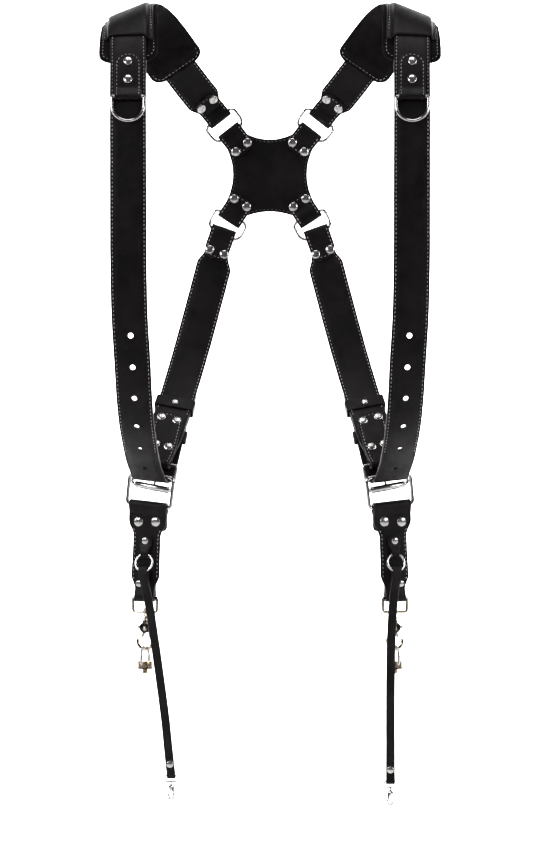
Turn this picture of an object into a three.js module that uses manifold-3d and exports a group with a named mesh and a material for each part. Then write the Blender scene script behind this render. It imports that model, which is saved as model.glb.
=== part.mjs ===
// A dual camera harness: two leather straps over padded shoulders, joined by a cross patch on
// the back, with a hanger, a snap hook, a screw connector and a safety tether at each hip.
// Millimetres, +Z up. The wearer faces -Y. The left side of the front view has negative X.
// The origin lies midway between the undersides of the two shoulder pads, at their crests.
import * as THREE from 'three';
import { mergeVertices } from 'three/addons/utils/BufferGeometryUtils.js';
import Module from 'manifold-3d';

const wasm = await Module();
wasm.setup();

// The torso that the harness is sized for
const shoulderHalf = 148; // spine to the middle of a front strap
const chestDepth = 100; // shoulder line to the front of the chest
const backDepth = 105; // shoulder line to the cross patch
const hipDrop = 477; // shoulder line down to the strap's turn at the hip
const hipHalf = 125; // spine to the middle of the strap's turn
const hipYaw = 18; // degrees that the hip hardware faces outward
const hipTilt = 6; // degrees that the hip bars drop towards the middle
const patchDrop = 157.6; // shoulder line down to the middle of the cross patch

// Leather
const strapWidth = 38;
const strapThickness = 3;
const foldWidth = 27.4; // a strap narrows to this where it folds round a ring
const layerGap = 0.3; // between leather layers, and between a piece and its seat
const eyeClearance = 0.4; // between a bar and the leather folded round it
const foldReach = 10; // length in which a fold closes behind its bar
const narrowing = 14; // length in which a strap narrows
const strapFoldTab = 30; // length of the folded end, from the bar

// Main strap holes and free end
const holeRadius = 2.8;
const holePitch = 33;
const holeOffset = 27; // from the strap's turn up to the lowest front hole
const frontHoles = 6;
const freeHoles = 2;
const freeEnd = 122; // length of the free end above the buckle's heel bar
const freeEndOffset = 6; // middle of the lower back strap to the middle of the free end

// Shoulder pad and the band over it
const padWidth = 62;
const padThickness = 7;
const padEdge = 3.4;
const padFront = 86; // length in front of the crest
const padBack = 112; // length behind the crest
const padCorner = 12;
const bandFront = 56;
const bandBack = 24;
const bandWall = 2;
const bandFoot = 6;
const bandRoom = 0.6; // room over and beside the strap
const bandSeat = 0.3; // its feet above the pad

// Chest tab and ring
const chestTabWidth = 28;
const chestTabThickness = 1.8;
const chestTabTop = 80; // along the strap from the crest
const chestTabLength = 50; // from its top to the ring's bar
const chestRingWidth = 33.2;
const chestRingHeight = 26.4;
const chestRingLean = 4; // degrees that the hanging ring leans on the strap

// Rings, middle to middle of the wire
const ringWire = 1.7;
const backRingWidth = 37.6;
const backRingHeight = 22.4;
const backRingBow = 10; // corner radius of the bow
const backRingBar = 5; // corner radius at the bar
const upperRingTurn = 38; // degrees from upright
const lowerRingTurn = 27;
const lowerStrapTurn = 19.5; // the lower back strap's end

// Cross patch
const patchThickness = 3;
const patchReachX = 41.3; // middle of the patch to a ring's bar
const patchReachZ = 44.2;
const patchWaist = 39; // middle of the patch to the hollow of its top and bottom edges
const patchSide = 40; // middle of the patch to the hollow of its sides
const patchArmWidth = 32;
const patchTab = 24; // length of an arm's folded end, from the bar
const upperArmTurn = 38;
const lowerArmTurn = 33;

// Buckle at the hip
const turnRadius = 6; // inside radius of the strap's turn
const buckleTilt = 10;
const buckleWire = 1.75;
const buckleWidth = 46;
const buckleHeight = 26.8;
const rollerRadius = 3.8;
const rollerLength = 39;
const rollerBore = 0.35; // clearance on the end bar
const rollerShift = 2; // roller to the middle of the turn, across
const rollerDrop = 14.9; // roller below the middle of the turn
const buckleDepth = 1.6; // buckle's plane behind the middle of the turn
const prongRadius = 1.5;
const prongEye = 4;

// Lower back strap, folded round the buckle's heel bar
const lowerStrapThickness = 2.6;
const lowerFoldTab = 28;
const sewnDepth = 0.8;
const sewnProud = 0.24;
const sewnOverlap = 5;
const buckleTab = 65;
const buckleRivetAt = 21; // the rivets nearest the heel bar
const heelWidening = 40; // from the heel fold to the strap's full width
const keeperWall = 1.6;
const keeperLength = 13;
const keeperRoom = 0.9;
const upperKeeperAt = 72; // along the strap from its heel fold
const lowerKeeperAt = 31;

// Hip ring and hanger
const hipRingWire = 2;
const hipRingWidth = 49;
const hipRingHeight = 32.4;
const hipRingShift = 1.4;
const hangerThickness = 2.8;
const hangerWidth = 42;
const hangerWaist = 30.5;
const hangerLength = 95.8; // hip ring's bottom bar to the hook ring's top bar
const hangerLean = 4; // how far the hanger's foot swings outward
const hangerFoldWidth = 22.4;
const hangerTopTab = 25;
const hangerFootTab = 20;

// Strip and round ring on the hanger
const stripWidth = 13.4;
const stripThickness = 1.6;
const stripTop = 30; // below the hip ring's bottom bar
const stripLength = 20.4;
const roundRingRadius = 9.2;
const roundRingWire = 1.15;
const roundRingLean = 14; // degrees that its foot hangs forward

// Hook ring
const hookRingWire = 1.6;
const hookRingWidth = 26.8;
const hookRingHeight = 15.8;

// Snap hooks
const hookLength = 41.5;
const smallHookLength = 21.4;
const hookClearance = 0.5;
const smallHookClearance = 0.4;
const smallHookYaw = -48;

// Screw connector
const drumRadius = 8.2;
const drumHeight = 7;
const washerThickness = 1.6;
const screwRadius = 3.175;
const screwLength = 5;
const bailWire = 1.4;
const bailHalf = 12.4; // middle of the bail to the middle of its side
const bailReach = 19.6; // drum's pivot to the middle of the wire at the arch
const bailPinDepth = 2.6;

// Tether
const tetherWidth = 9.5;
const tetherThickness = 1.8;
const tetherTab = 17;
const splitRingRadius = 5.4;
const splitRingWire = 0.75;

// Rivets
const rivetRadius = 4.7;
const rivetHeight = 1.5;
const smallRivetRadius = 3.4;

// The main strap's way over the shoulder, from the upper back ring to the hip. x is a share of
// shoulderHalf, y of chestDepth, z of hipDrop. yaw and roll turn the strap's width, in degrees.
const strapWay = [
  { x: -0.509, y: 0.95, z: -0.151, yaw: 0, roll: 37 },
  { x: -0.648, y: 0.8, z: -0.097, yaw: 0, roll: 34.5 },
  { x: -0.793, y: 0.56, z: -0.038, yaw: 0, roll: 31 },
  { x: -0.883, y: 0.36, z: -0.005, yaw: 0, roll: 28 },
  { x: -0.951, y: 0.16, z: 0.0126, yaw: 0, roll: 24.5 },
  { x: -1.0, y: 0, z: 0.0184, yaw: 0, roll: 22 },
  { x: -1.007, y: -0.26, z: -0.0035, yaw: 0, roll: 18 },
  { x: -1.003, y: -0.48, z: -0.046, yaw: 0, roll: 10 },
  { x: -0.999, y: -0.64, z: -0.1055, yaw: 0, roll: 3 },
  { x: -0.997, y: -0.78, z: -0.186, yaw: 0, roll: 0 },
  { x: -0.994, y: -0.9, z: -0.297, yaw: 0, roll: 0 },
  { x: -0.992, y: -0.97, z: -0.406, yaw: 0, roll: 0 },
  { x: -0.99, y: -1, z: -0.536, yaw: 0, roll: 0 },
  { x: -0.982, y: -0.99, z: -0.655, yaw: -2, roll: 0 },
  { x: -0.963, y: -0.95, z: -0.757, yaw: -4, roll: 0 },
  { x: -0.952, y: -0.88, z: -0.827, yaw: -8, roll: -1 },
  { x: -0.938, y: -0.73, z: -0.89, yaw: -12, roll: -3 },
  { x: -0.919, y: -0.52, z: -0.937, yaw: -15, roll: -4 },
  { x: -0.896, y: -0.27, z: -0.978, yaw: -17, roll: -5 },
];

// The lower back strap's way, from the buckle up to the lower back ring. x is a share of
// shoulderHalf, y of backDepth, z of hipDrop.
const lowerWay = [
  { x: -0.761, y: 0.14, z: -0.9365, yaw: -16, roll: -12 },
  { x: -0.72, y: 0.33, z: -0.883, yaw: -14, roll: -14 },
  { x: -0.667, y: 0.535, z: -0.831, yaw: -11, roll: -15 },
  { x: -0.569, y: 0.79, z: -0.725, yaw: -6, roll: -16 },
  { x: -0.472, y: 0.925, z: -0.612, yaw: -2, roll: -17 },
  { x: -0.397, y: 0.985, z: -0.521, yaw: 0, roll: -18 },
];

// The tethers' chosen points, from the round ring down, in millimetres from the ring's foot:
// across (towards the middle), out (towards the front) and down.
const leftTetherWay = [
  { across: 0.9, out: 1.2, down: 9 },
  { across: 5.2, out: 5, down: 30 },
  { across: 12, out: 11, down: 72 },
  { across: 18, out: 14, down: 114 },
  { across: 23.5, out: 16, down: 156 },
  { across: 26.8, out: 17, down: 188 },
  { across: 29.6, out: 17.6, down: 214 },
];
const rightTetherWay = [
  { across: 0.9, out: 1.2, down: 9 },
  { across: 3.4, out: 5, down: 30 },
  { across: 6, out: 11, down: 72 },
  { across: 6.8, out: 14, down: 114 },
  { across: 7, out: 16, down: 156 },
  { across: 7, out: 17, down: 188 },
  { across: 7, out: 17.6, down: 220 },
];

// A snap hook seen from the front, as shares of its length: across from the post, and down
// from the bar that it hangs on.
const hookPlan = {
  collarTop: 0.2,
  collarFoot: 0.29,
  pocketFoot: 0.335,
  blockFoot: 0.535,
  blockLeft: 0.133,
  blockRight: 0.145,
  cheek: 0.048,
  slotTop: 0.345,
  slotRight: 0.106,
  pivotAcross: 0.024,
  pivotDown: 0.418,
  pinRadius: 0.027,
  loopDown: 0.747,
  loopRadius: 0.2,
  clawRadius: 0.05,
  headRadius: 0.06,
  postRadius: 0.037,
  neckRadius: 0.075,
  leverHalf: 0.029,
};
const leverOutline = [
  { across: -0.19, down: 0.35 },
  { across: -0.15, down: 0.36 },
  { across: -0.005, down: 0.37 },
  { across: 0.045, down: 0.37 },
  { across: 0.078, down: 0.4 },
  { across: 0.076, down: 0.442 },
  { across: 0.038, down: 0.475 },
  { across: -0.048, down: 0.66 },
  { across: -0.104, down: 0.645 },
  { across: -0.06, down: 0.5 },
  { across: -0.085, down: 0.437 },
  { across: -0.19, down: 0.42 },
  { across: -0.218, down: 0.385 },
];

const finishes = {
  leather: { color: 0x14110f, roughness: 0.55, metalness: 0 },
  suede: { color: 0x1d1a19, roughness: 0.95, metalness: 0 },
  nickel: { color: 0xdcdad6, roughness: 0.18, metalness: 1 },
  steel: { color: 0xb9b8b5, roughness: 0.35, metalness: 1 },
  rubber: { color: 0x121212, roughness: 0.9, metalness: 0 },
};

const vec = (x, y, z) => new THREE.Vector3(x, y, z);
const along = (start, direction, distance) => start.clone().addScaledVector(direction, distance);
const radians = THREE.MathUtils.degToRad;

// The direction across a strap, from its outer to its inner edge
function widthDirection(yaw, roll) {
  const a = radians(yaw);
  const b = radians(roll);
  return vec(Math.cos(a) * Math.cos(b), Math.sin(a) * Math.cos(b), Math.sin(b));
}

// Solids

// A closed geometry with the corners that nearly meet made one. Faces that close up go, and so
// do two that come to lie back to back.
function welded(geometry, reach) {
  const merged = mergeVertices(geometry, reach);
  const corners = merged.index.array;
  const faces = new Map();
  for (let i = 0; i < corners.length; i += 3) {
    const face = Array.from(corners.slice(i, i + 3));
    const key = face.toSorted((a, b) => a - b).join();
    if (new Set(face).size === 3 && !faces.delete(key)) faces.set(key, face);
  }
  merged.setIndex([...faces.values()].reverse().flat());
  return merged;
}

// A closed geometry as a solid that can be cut and joined
function solidOf(geometry) {
  const bare = new THREE.BufferGeometry();
  bare.setAttribute('position', geometry.getAttribute('position').clone());
  if (geometry.index) bare.setIndex(geometry.index.clone());
  const merged = welded(bare, 1e-4);
  const make = (faces) =>
    new wasm.Manifold(
      new wasm.Mesh({
        numProp: 3,
        vertProperties: new Float32Array(merged.attributes.position.array),
        triVerts: new Uint32Array(faces),
      }),
    );
  const made = make(merged.index.array);
  return made.volume() < 0 ? make(merged.index.array.toReversed()) : made;
}

function geometryOf(solid) {
  const mesh = solid.simplify(0.01).getMesh();
  const geometry = new THREE.BufferGeometry();
  geometry.setAttribute('position', new THREE.BufferAttribute(mesh.vertProperties, 3));
  geometry.setIndex(new THREE.BufferAttribute(mesh.triVerts, 1));
  return welded(geometry, 0.005);
}

const join = (solids) => solids.reduce((whole, piece) => whole.add(piece));
const cut = (solid, tools) => tools.reduce((whole, tool) => whole.subtract(tool), solid);

// A solid through a row of closed sections, all of as many points. Each quad is split from its
// lower across value to its higher one, so that layers with like sections have parallel facets.
function loft(sections, outline, closed = false) {
  const size = outline.length;
  const positions = sections.flat().flatMap((p) => [p.x, p.y, p.z]);
  const index = [];
  const spans = closed ? sections.length : sections.length - 1;
  for (let i = 0; i < spans; i += 1) {
    const a = i * size;
    const b = ((i + 1) % sections.length) * size;
    for (let j = 0; j < size; j += 1) {
      const k = (j + 1) % size;
      if (outline[j].x <= outline[k].x) {
        index.push(a + j, a + k, b + k, a + j, b + k, b + j);
      } else {
        index.push(a + j, a + k, b + j, a + k, b + k, b + j);
      }
    }
  }
  if (!closed) {
    const last = (sections.length - 1) * size;
    for (const [a, b, c] of THREE.ShapeUtils.triangulateShape(outline, [])) {
      index.push(last + a, last + b, last + c, c, b, a);
    }
  }
  const geometry = new THREE.BufferGeometry();
  geometry.setAttribute('position', new THREE.Float32BufferAttribute(positions, 3));
  geometry.setIndex(index);
  return solidOf(geometry);
}

// The outward direction of a strap at each station: its way's, or from its run and width
function strapFrames(stations) {
  return stations.map((station, i) => {
    if (station.outward) return { ...station, slant: 1 };
    const before = stations[Math.max(i - 1, 0)].p;
    const after = stations[Math.min(i + 1, stations.length - 1)].p;
    const outward = after.clone().sub(before).normalize().cross(station.w);
    const slant = outward.length();
    return { ...station, outward: outward.normalize(), slant };
  });
}

// A solid with the section sectionAt(station, i), a list of [across, outward] pairs
function sweepSection(stations, sectionAt) {
  const frames = strapFrames(stations);
  const outline = sectionAt(frames[0], 0).map(([u, v]) => new THREE.Vector2(u, v));
  const sections = frames.map((frame, i) =>
    sectionAt(frame, i).map(([u, v]) =>
      along(along(frame.p, frame.w, u / frame.slant), frame.outward, v),
    ),
  );
  return loft(sections, outline);
}

// A flat leather band through stations { p, w, half }, made thicker by rise outward and by
// proud inward
function band(stations, thickness, { rise = 0, proud = 0 } = {}) {
  return sweepSection(stations, ({ half }) => [
    [-half, -thickness / 2 - proud],
    [half, -thickness / 2 - proud],
    [half, thickness / 2 + rise],
    [-half, thickness / 2 + rise],
  ]);
}

// Stations of the end of a band folded round a bar, from the tip of the tab to where the band
// leaves. away points from the bar along the band, face to the side on which the tab lies. sag is
// slack for a bar that is bent or askew, shift moves the two layers towards face.
function foldStations(fold) {
  const { bar, away, face, w, barRadius, thickness, tab, half, sag = 0, shift = 0 } = fold;
  const rho = barRadius + eyeClearance + thickness / 2;
  const lie = (thickness + layerGap) / 2;
  const pairs = [];
  const tip = Math.min(half * 0.5, tab - foldReach - sag - 1);
  pairs.push([tab, shift + lie, half * 0.6]);
  pairs.push([tab - tip, shift + lie, half]);
  pairs.push([foldReach + sag, shift + lie, half]);
  const steps = 4;
  if (sag > 0) pairs.push([sag, rho, half]);
  for (let i = 0; i <= steps; i += 1) {
    const angle = (Math.PI * i) / steps;
    pairs.push([-sag - rho * Math.sin(angle), rho * Math.cos(angle), half]);
  }
  if (sag > 0) pairs.push([sag, -rho, half]);
  pairs.push([foldReach + sag, shift - lie, half]);
  return pairs.map(([u, v, h]) => ({ p: along(along(bar, away, u), face, v), w, half: h }));
}

// A smooth way through rows { p, w }, measured along its length and kept as flat facets, so
// that every layer of leather that lies along it has the same facets
class Way {
  constructor(rows, { turn = 9, least = 3.2, most = 45 } = {}) {
    const line = new THREE.CatmullRomCurve3(rows.map(({ p }) => p), false, 'centripetal');
    const widths = new THREE.CatmullRomCurve3(rows.map(({ w }) => w), false, 'catmullrom', 0.5);
    const perRow = 16;
    const count = (rows.length - 1) * perRow;
    const samples = [];
    this.rowLength = [];
    let length = 0;
    for (let i = 0; i <= count; i += 1) {
      const p = line.getPoint(i / count);
      const w = widths.getPoint(i / count).normalize();
      if (i > 0) length += p.distanceTo(samples[i - 1].p);
      const run = line.getTangent(i / count);
      samples.push({ s: length, p, w, run, outward: run.clone().cross(w).normalize() });
      if (i % perRow === 0) this.rowLength.push(length);
    }
    this.length = length;
    this.knots = [samples[0]];
    for (const [i, sample] of samples.entries()) {
      const last = this.knots[this.knots.length - 1];
      const reach = sample.s - last.s;
      const bend = Math.max(sample.run.angleTo(last.run), sample.w.angleTo(last.w));
      const due = (bend >= radians(turn) && reach >= least) || reach >= most;
      if (i > 0 && due && length - sample.s > least) this.knots.push(sample);
    }
    this.knots.push(samples[count]);
    this.samples = samples;
  }

  // More facet edges, at the given distances
  addKnots(distances) {
    for (const s of distances) {
      const near = this.samples.reduce((a, b) => (Math.abs(b.s - s) < Math.abs(a.s - s) ? b : a));
      if (!this.knots.includes(near)) this.knots.push(near);
    }
    this.knots.sort((a, b) => a.s - b.s);
  }

  // The point, width direction, run and outward direction at a distance along the way
  at(distance) {
    let i = 1;
    while (i < this.knots.length - 1 && this.knots[i].s < distance) i += 1;
    const [a, b] = [this.knots[i - 1], this.knots[i]];
    const share = (distance - a.s) / (b.s - a.s);
    const mix = (key) => a[key].clone().lerp(b[key], share);
    return { s: distance, p: mix('p'), w: mix('w'), run: mix('run'), outward: mix('outward') };
  }

  // Stations between two distances, with their half widths, moved outward by offset
  stations(from, to, halfAt, { offset = 0, extra = [] } = {}) {
    const inside = (s) => s > from + 0.5 && s < to - 0.5;
    const wanted = [...extra, ...this.knots.map(({ s }) => s)].filter(inside);
    const distances = [from, ...wanted.sort((a, b) => a - b), to];
    const spaced = distances.filter((s, i) => i === 0 || s - distances[i - 1] > 0.4);
    return spaced.map((s) => {
      const station = this.at(s);
      return { ...station, p: along(station.p, station.outward, offset), half: halfAt(s) };
    });
  }
}

// Distance along a way, from its start or its end, of a place on the tab folded back there
const tabDistance = (way, fromEnd, fromBar, sag = 0) => {
  const reach = fromBar - foldReach - sag;
  return fromEnd ? way.length - reach : reach;
};

// A folded end whose tab is sewn down along a way: the tab's solid, and the stations of the bend
// from inside the tab to where the band leaves
function layFold(way, fromEnd, runHalf, fold) {
  const { thickness, tab, half, tabHalf = half, sag } = fold;
  const place = (reach) => (fromEnd ? way.length - reach : reach);
  const between = (from, to, halfAt, extra = []) =>
    way.stations(Math.min(place(from), place(to)), Math.max(place(from), place(to)), halfAt, {
      offset: -(thickness + layerGap),
      extra: extra.map(place),
    });
  const length = tab - foldReach - (sag ?? 0);
  const tip = Math.min(half * 0.5, length - 2);
  const tabHalfAt = (s) => {
    const side = Math.min(tabHalf, runHalf(s) - 2 * layerGap) + sewnProud;
    return s === place(length) ? side * 0.6 : side;
  };
  const lying = between(sewnOverlap * 0.2, length, tabHalfAt, [length - tip]);
  const approach = between(0, sewnOverlap, () => half);
  if (!fromEnd) approach.reverse();
  return {
    tab: band(lying, thickness, { rise: layerGap + sewnDepth, proud: sewnProud / 2 }),
    bend: [...approach, ...foldStations(fold).slice(3, -1)],
  };
}

// A rivet on such a tab, at a distance from the bar and from the band's middle
function tabRivet(way, fromEnd, { thickness, sag }, fromBar, across) {
  const { p, w, outward } = way.at(tabDistance(way, fromEnd, fromBar, sag));
  outward.normalize();
  const face = along(p, outward, -(thickness * 1.5 + layerGap));
  return rivet(along(face, w, across), outward.clone().negate());
}

// Wires

// A wire of round section along flat points [across, up] in the XZ plane of its own frame
function flatWire(points, radius, sides, closed) {
  const radiusAt = typeof radius === 'function' ? radius : () => radius;
  const count = points.length;
  const outline = Array.from({ length: sides }, (_, j) => {
    const angle = (2 * Math.PI * (j + 0.5)) / sides;
    return new THREE.Vector2(Math.cos(angle), Math.sin(angle));
  });
  const sections = points.map(([x, z], i) => {
    const before = points[closed ? (i + count - 1) % count : Math.max(i - 1, 0)];
    const after = points[closed ? (i + 1) % count : Math.min(i + 1, count - 1)];
    const run = vec(after[0] - before[0], 0, after[1] - before[1]).normalize();
    const side = vec(run.z, 0, -run.x);
    return outline.map((o) =>
      along(vec(x, radiusAt(i) * o.y, z), side, radiusAt(i) * o.x),
    );
  });
  return loft(sections, outline, closed);
}

function arcPoints(cx, cz, radius, from, to, steps) {
  return Array.from({ length: steps + 1 }, (_, i) => {
    const angle = radians(from + ((to - from) * i) / steps);
    return [cx + radius * Math.cos(angle), cz + radius * Math.sin(angle)];
  });
}

// Points of a rounded closed ring whose top bar is at up 0
function ringPoints(width, height, topCorner, footCorner) {
  const half = width / 2;
  const steps = (corner) => (corner > 2.9 && corner > 0.3 * Math.min(half, height / 2) ? 3 : 2);
  const top = steps(topCorner);
  const foot = steps(footCorner);
  const points = [
    ...arcPoints(half - topCorner, -topCorner, topCorner, 90, 0, top),
    ...arcPoints(half - footCorner, footCorner - height, footCorner, 0, -90, foot),
    ...arcPoints(footCorner - half, footCorner - height, footCorner, -90, -180, foot),
    ...arcPoints(topCorner - half, -topCorner, topCorner, 180, 90, top),
  ];
  return points.filter(([x, z], i) => {
    const next = points[(i + 1) % points.length];
    return Math.hypot(x - next[0], z - next[1]) > 0.02;
  });
}

// A rounded ring hanging from its top bar, whose middle is the frame's origin
function hangingRing(width, height, topCorner, footCorner, radius) {
  return flatWire(ringPoints(width, height, topCorner, footCorner), radius, 6, true);
}

// A domed rivet head on a face at p, towards out
function rivet(p, out, radius = rivetRadius) {
  const profile = [
    new THREE.Vector2(0, -0.5),
    new THREE.Vector2(radius, -0.5),
    new THREE.Vector2(radius, rivetHeight * 0.45),
    new THREE.Vector2(radius * 0.5, rivetHeight),
    new THREE.Vector2(0, rivetHeight),
  ];
  const geometry = new THREE.LatheGeometry(profile, 8);
  geometry.applyQuaternion(new THREE.Quaternion().setFromUnitVectors(vec(0, 1, 0), out));
  geometry.translate(p.x, p.y, p.z);
  return solidOf(geometry);
}

// A round tool along an axis through p
function roundTool(p, axis, radius, length, sides = 10) {
  const geometry = new THREE.CylinderGeometry(radius, radius, length, sides);
  geometry.applyQuaternion(new THREE.Quaternion().setFromUnitVectors(vec(0, 1, 0), axis));
  geometry.translate(p.x, p.y, p.z);
  return solidOf(geometry);
}

function block(width, depth, height, x, y, z) {
  return solidOf(new THREE.BoxGeometry(width, depth, height).translate(x, y, z));
}

// Frames

// A frame at a point, with its own X, Y and Z directions
function frameAt(origin, x, y, z) {
  return new THREE.Matrix4().makeBasis(x, y, z).setPosition(origin);
}

// A frame whose X runs along a bar and whose Z is as near as can be to up
function barFrame(origin, x, up) {
  const y = up.clone().cross(x).normalize();
  const z = x.clone().cross(y).normalize();
  return frameAt(origin, x.clone().normalize(), y, z);
}

const turned = (frame, axis, degrees) =>
  frame.clone().multiply(new THREE.Matrix4().makeRotationAxis(axis, radians(degrees)));
const moved = (frame, x, y, z) =>
  frame.clone().multiply(new THREE.Matrix4().makeTranslation(x, y, z));
const pointIn = (frame, x, y, z) => vec(x, y, z).applyMatrix4(frame);
const axisOf = (frame, column) => new THREE.Vector3().setFromMatrixColumn(frame, column);

// Layout shared by the pieces of one side, in left-hand coordinates

// A back ring between a bar on the patch and a strap's fold
function backRingLayout(side, turn) {
  const bar = vec(-patchReachX, backDepth, -patchDrop + side * patchReachZ);
  const a = radians(turn);
  const away = vec(-Math.sin(a), 0, side * Math.cos(a));
  return { bar, away, far: along(bar, away, backRingHeight) };
}

// The slack that a fold needs round a ring's end with the given corners, askew by some degrees
function foldSlack(corner, skew) {
  const half = foldWidth / 2;
  const past = Math.max(0, half - (backRingWidth / 2 - corner));
  const slope = Math.asin(past / corner);
  const bow = corner * (1 - Math.cos(slope)) + ringWire * (1 / Math.cos(slope) - 1);
  return bow + half * Math.sin(radians(Math.abs(skew))) + 2 * eyeClearance;
}

const upperRing = backRingLayout(1, upperRingTurn);
const lowerRing = backRingLayout(-1, lowerRingTurn);
const bodySide = vec(0, -1, 0);

const hipFrame = barFrame(
  vec(-hipHalf, 0, -hipDrop),
  widthDirection(-hipYaw, -hipTilt),
  vec(0, 0, 1),
);
const buckleFrame = turned(
  moved(hipFrame, rollerShift, buckleDepth, -rollerDrop),
  vec(0, 1, 0),
  buckleTilt - hipTilt,
);
const turnMiddle = turnRadius + strapThickness / 2;
const ringInTurn = (turnRadius - hipRingWire - eyeClearance) * Math.SQRT1_2;
const hipRingFrame = moved(hipFrame, hipRingShift, -ringInTurn, -ringInTurn);

// The lower back strap leaves the heel bar up the back
function lowerStrapWay() {
  const heel = pointIn(buckleFrame, 0, 0, buckleHeight);
  const rows = lowerWay.map((row) => ({
    p: vec(row.x * shoulderHalf, row.y * backDepth, row.z * hipDrop),
    w: widthDirection(row.yaw, row.roll),
  }));
  const w = axisOf(buckleFrame, 0);
  const away = rows[0].p.clone().sub(heel).normalize();
  const face = w.clone().cross(away).normalize();
  const lie = (lowerStrapThickness + layerGap) / 2;
  const fold = { bar: heel, away, face, w, barRadius: buckleWire };
  const start = { p: along(along(heel, away, foldReach), face, -lie), w };
  const foldTurn = widthDirection(0, -lowerStrapTurn);
  const top = {
    bar: lowerRing.far,
    away: vec(-Math.sin(radians(lowerStrapTurn)), 0, -Math.cos(radians(lowerStrapTurn))),
    face: bodySide,
    w: foldTurn,
    barRadius: ringWire,
    sag: foldSlack(backRingBow, lowerRingTurn - lowerStrapTurn),
  };
  const end = {
    p: along(along(top.bar, top.away, foldReach + top.sag), top.face, -lie),
    w: foldTurn,
  };
  const way = new Way([start, ...rows, end], { turn: 4.5 });
  way.addKnots([buckleTab, buckleTab - foldWidth / 4].map((d) => tabDistance(way, false, d)));
  way.addKnots(
    [lowerFoldTab, lowerFoldTab - foldWidth / 4].map((d) => tabDistance(way, true, d, top.sag)),
  );
  way.addKnots([sewnOverlap * 0.2, sewnOverlap, way.length - sewnOverlap * 0.2]);
  way.addKnots([7, 14, 21].map((d) => way.length - d));
  return { fold, top, way };
}

const lower = lowerStrapWay();

// The main strap: back ring, shoulder, chest, turn at the hip, and free end up the back
function mainStrapWay() {
  const lie = (strapThickness + layerGap) / 2;
  const w = widthDirection(0, upperRingTurn);
  const fold = {
    bar: upperRing.far,
    away: upperRing.away,
    face: bodySide,
    w,
    barRadius: ringWire,
  };
  const start = { p: along(along(fold.bar, fold.away, foldReach), bodySide, -lie), w };
  const rows = strapWay.map((row) => ({
    p: vec(
      row.x * shoulderHalf,
      row.y * chestDepth,
      row.z > 0 ? padThickness + layerGap + strapThickness / 2 - (0.0184 - row.z) * hipDrop
        : row.z * hipDrop,
    ),
    w: widthDirection(row.yaw, row.roll),
  }));
  const crestRow = 1 + strapWay.findIndex((row) => row.y === 0);
  const hipWidth = axisOf(hipFrame, 0);
  const turnRows = [62, 90, 118, 146, 172].map((degrees) => {
    const a = radians(degrees);
    const across = 0.3 + ((degrees - 62) / 110) * 4;
    return {
      p: pointIn(hipFrame, across, -turnMiddle * Math.cos(a), -turnMiddle * Math.sin(a)),
      w: hipWidth,
    };
  });
  const turnRow = 1 + rows.length + 1;
  const freeRows = [];
  for (let s = 16; s <= freeEnd + 1; s += 18) {
    const at = lower.way.at(s);
    freeRows.push({ p: along(at.p, at.outward, freeEndOffset), w: at.w });
  }
  const way = new Way([start, ...rows, ...turnRows, ...freeRows]);
  const crest = way.rowLength[crestRow];
  const padEnds = [padCorner * 0.15, padCorner * 0.5, padCorner, padCorner * 1.6];
  way.addKnots(padEnds.flatMap((d) => [crest - padBack + d, crest + padFront - d]));
  way.addKnots([crest - bandBack, crest + bandFront, crest + chestTabTop]);
  way.addKnots([sewnOverlap * 0.2, sewnOverlap, 9, 15, tabDistance(way, false, strapFoldTab), 27]);
  way.addKnots([tabDistance(way, false, strapFoldTab - foldWidth / 4)]);
  return { fold, way, crest, turn: way.rowLength[turnRow] };
}

const main = mainStrapWay();

// Leather pieces

const smooth = (share) => THREE.MathUtils.smoothstep(share, 0, 1);

// A fold's narrow half width growing to the full one over the narrowing length
function halfGrowing(distance, narrow, full) {
  const share = smooth((distance - strapFoldTab * 0.5 + foldReach) / narrowing);
  return THREE.MathUtils.lerp(narrow, full, share);
}

function mainStrap() {
  const { fold, way, turn } = main;
  const narrow = foldWidth / 2;
  const end = {
    ...fold,
    thickness: strapThickness,
    tab: strapFoldTab,
    half: narrow - 2 * layerGap,
  };
  const half = strapWidth / 2;
  const halfAt = (s) =>
    Math.min(
      halfGrowing(s, narrow, half),
      half - Math.max(0, s - (way.length - half * 0.6)) * 0.7,
    );
  const folded = layFold(way, false, halfAt, end);
  const tipReach = half * 0.6;
  const run = way.stations(0, way.length, halfAt, {
    extra: [way.length - tipReach, way.length - tipReach * 0.5],
  });
  const holes = [];
  for (let k = 0; k < frontHoles + 1 + freeHoles; k += 1) {
    const s = turn + holePitch * (k + 1 - frontHoles) - holeOffset;
    const { p, outward } = way.at(s);
    outward.normalize();
    holes.push(roundTool(p, outward, holeRadius, strapThickness * 3, 6));
  }
  const rivets = [-1, 1].map((side) => tabRivet(way, false, end, 22.5, side * 8));
  const strap = band([...folded.bend, ...run], strapThickness);
  return cut(join([strap, folded.tab, ...rivets]), holes);
}

// Half width of a pad or tab whose two corners at an end are round
function roundedHalf(half, corner, fromEnd) {
  if (fromEnd >= corner) return half;
  const d = corner - Math.max(fromEnd, 0);
  return half - corner + Math.sqrt(Math.max(corner * corner - d * d, 0));
}

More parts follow.
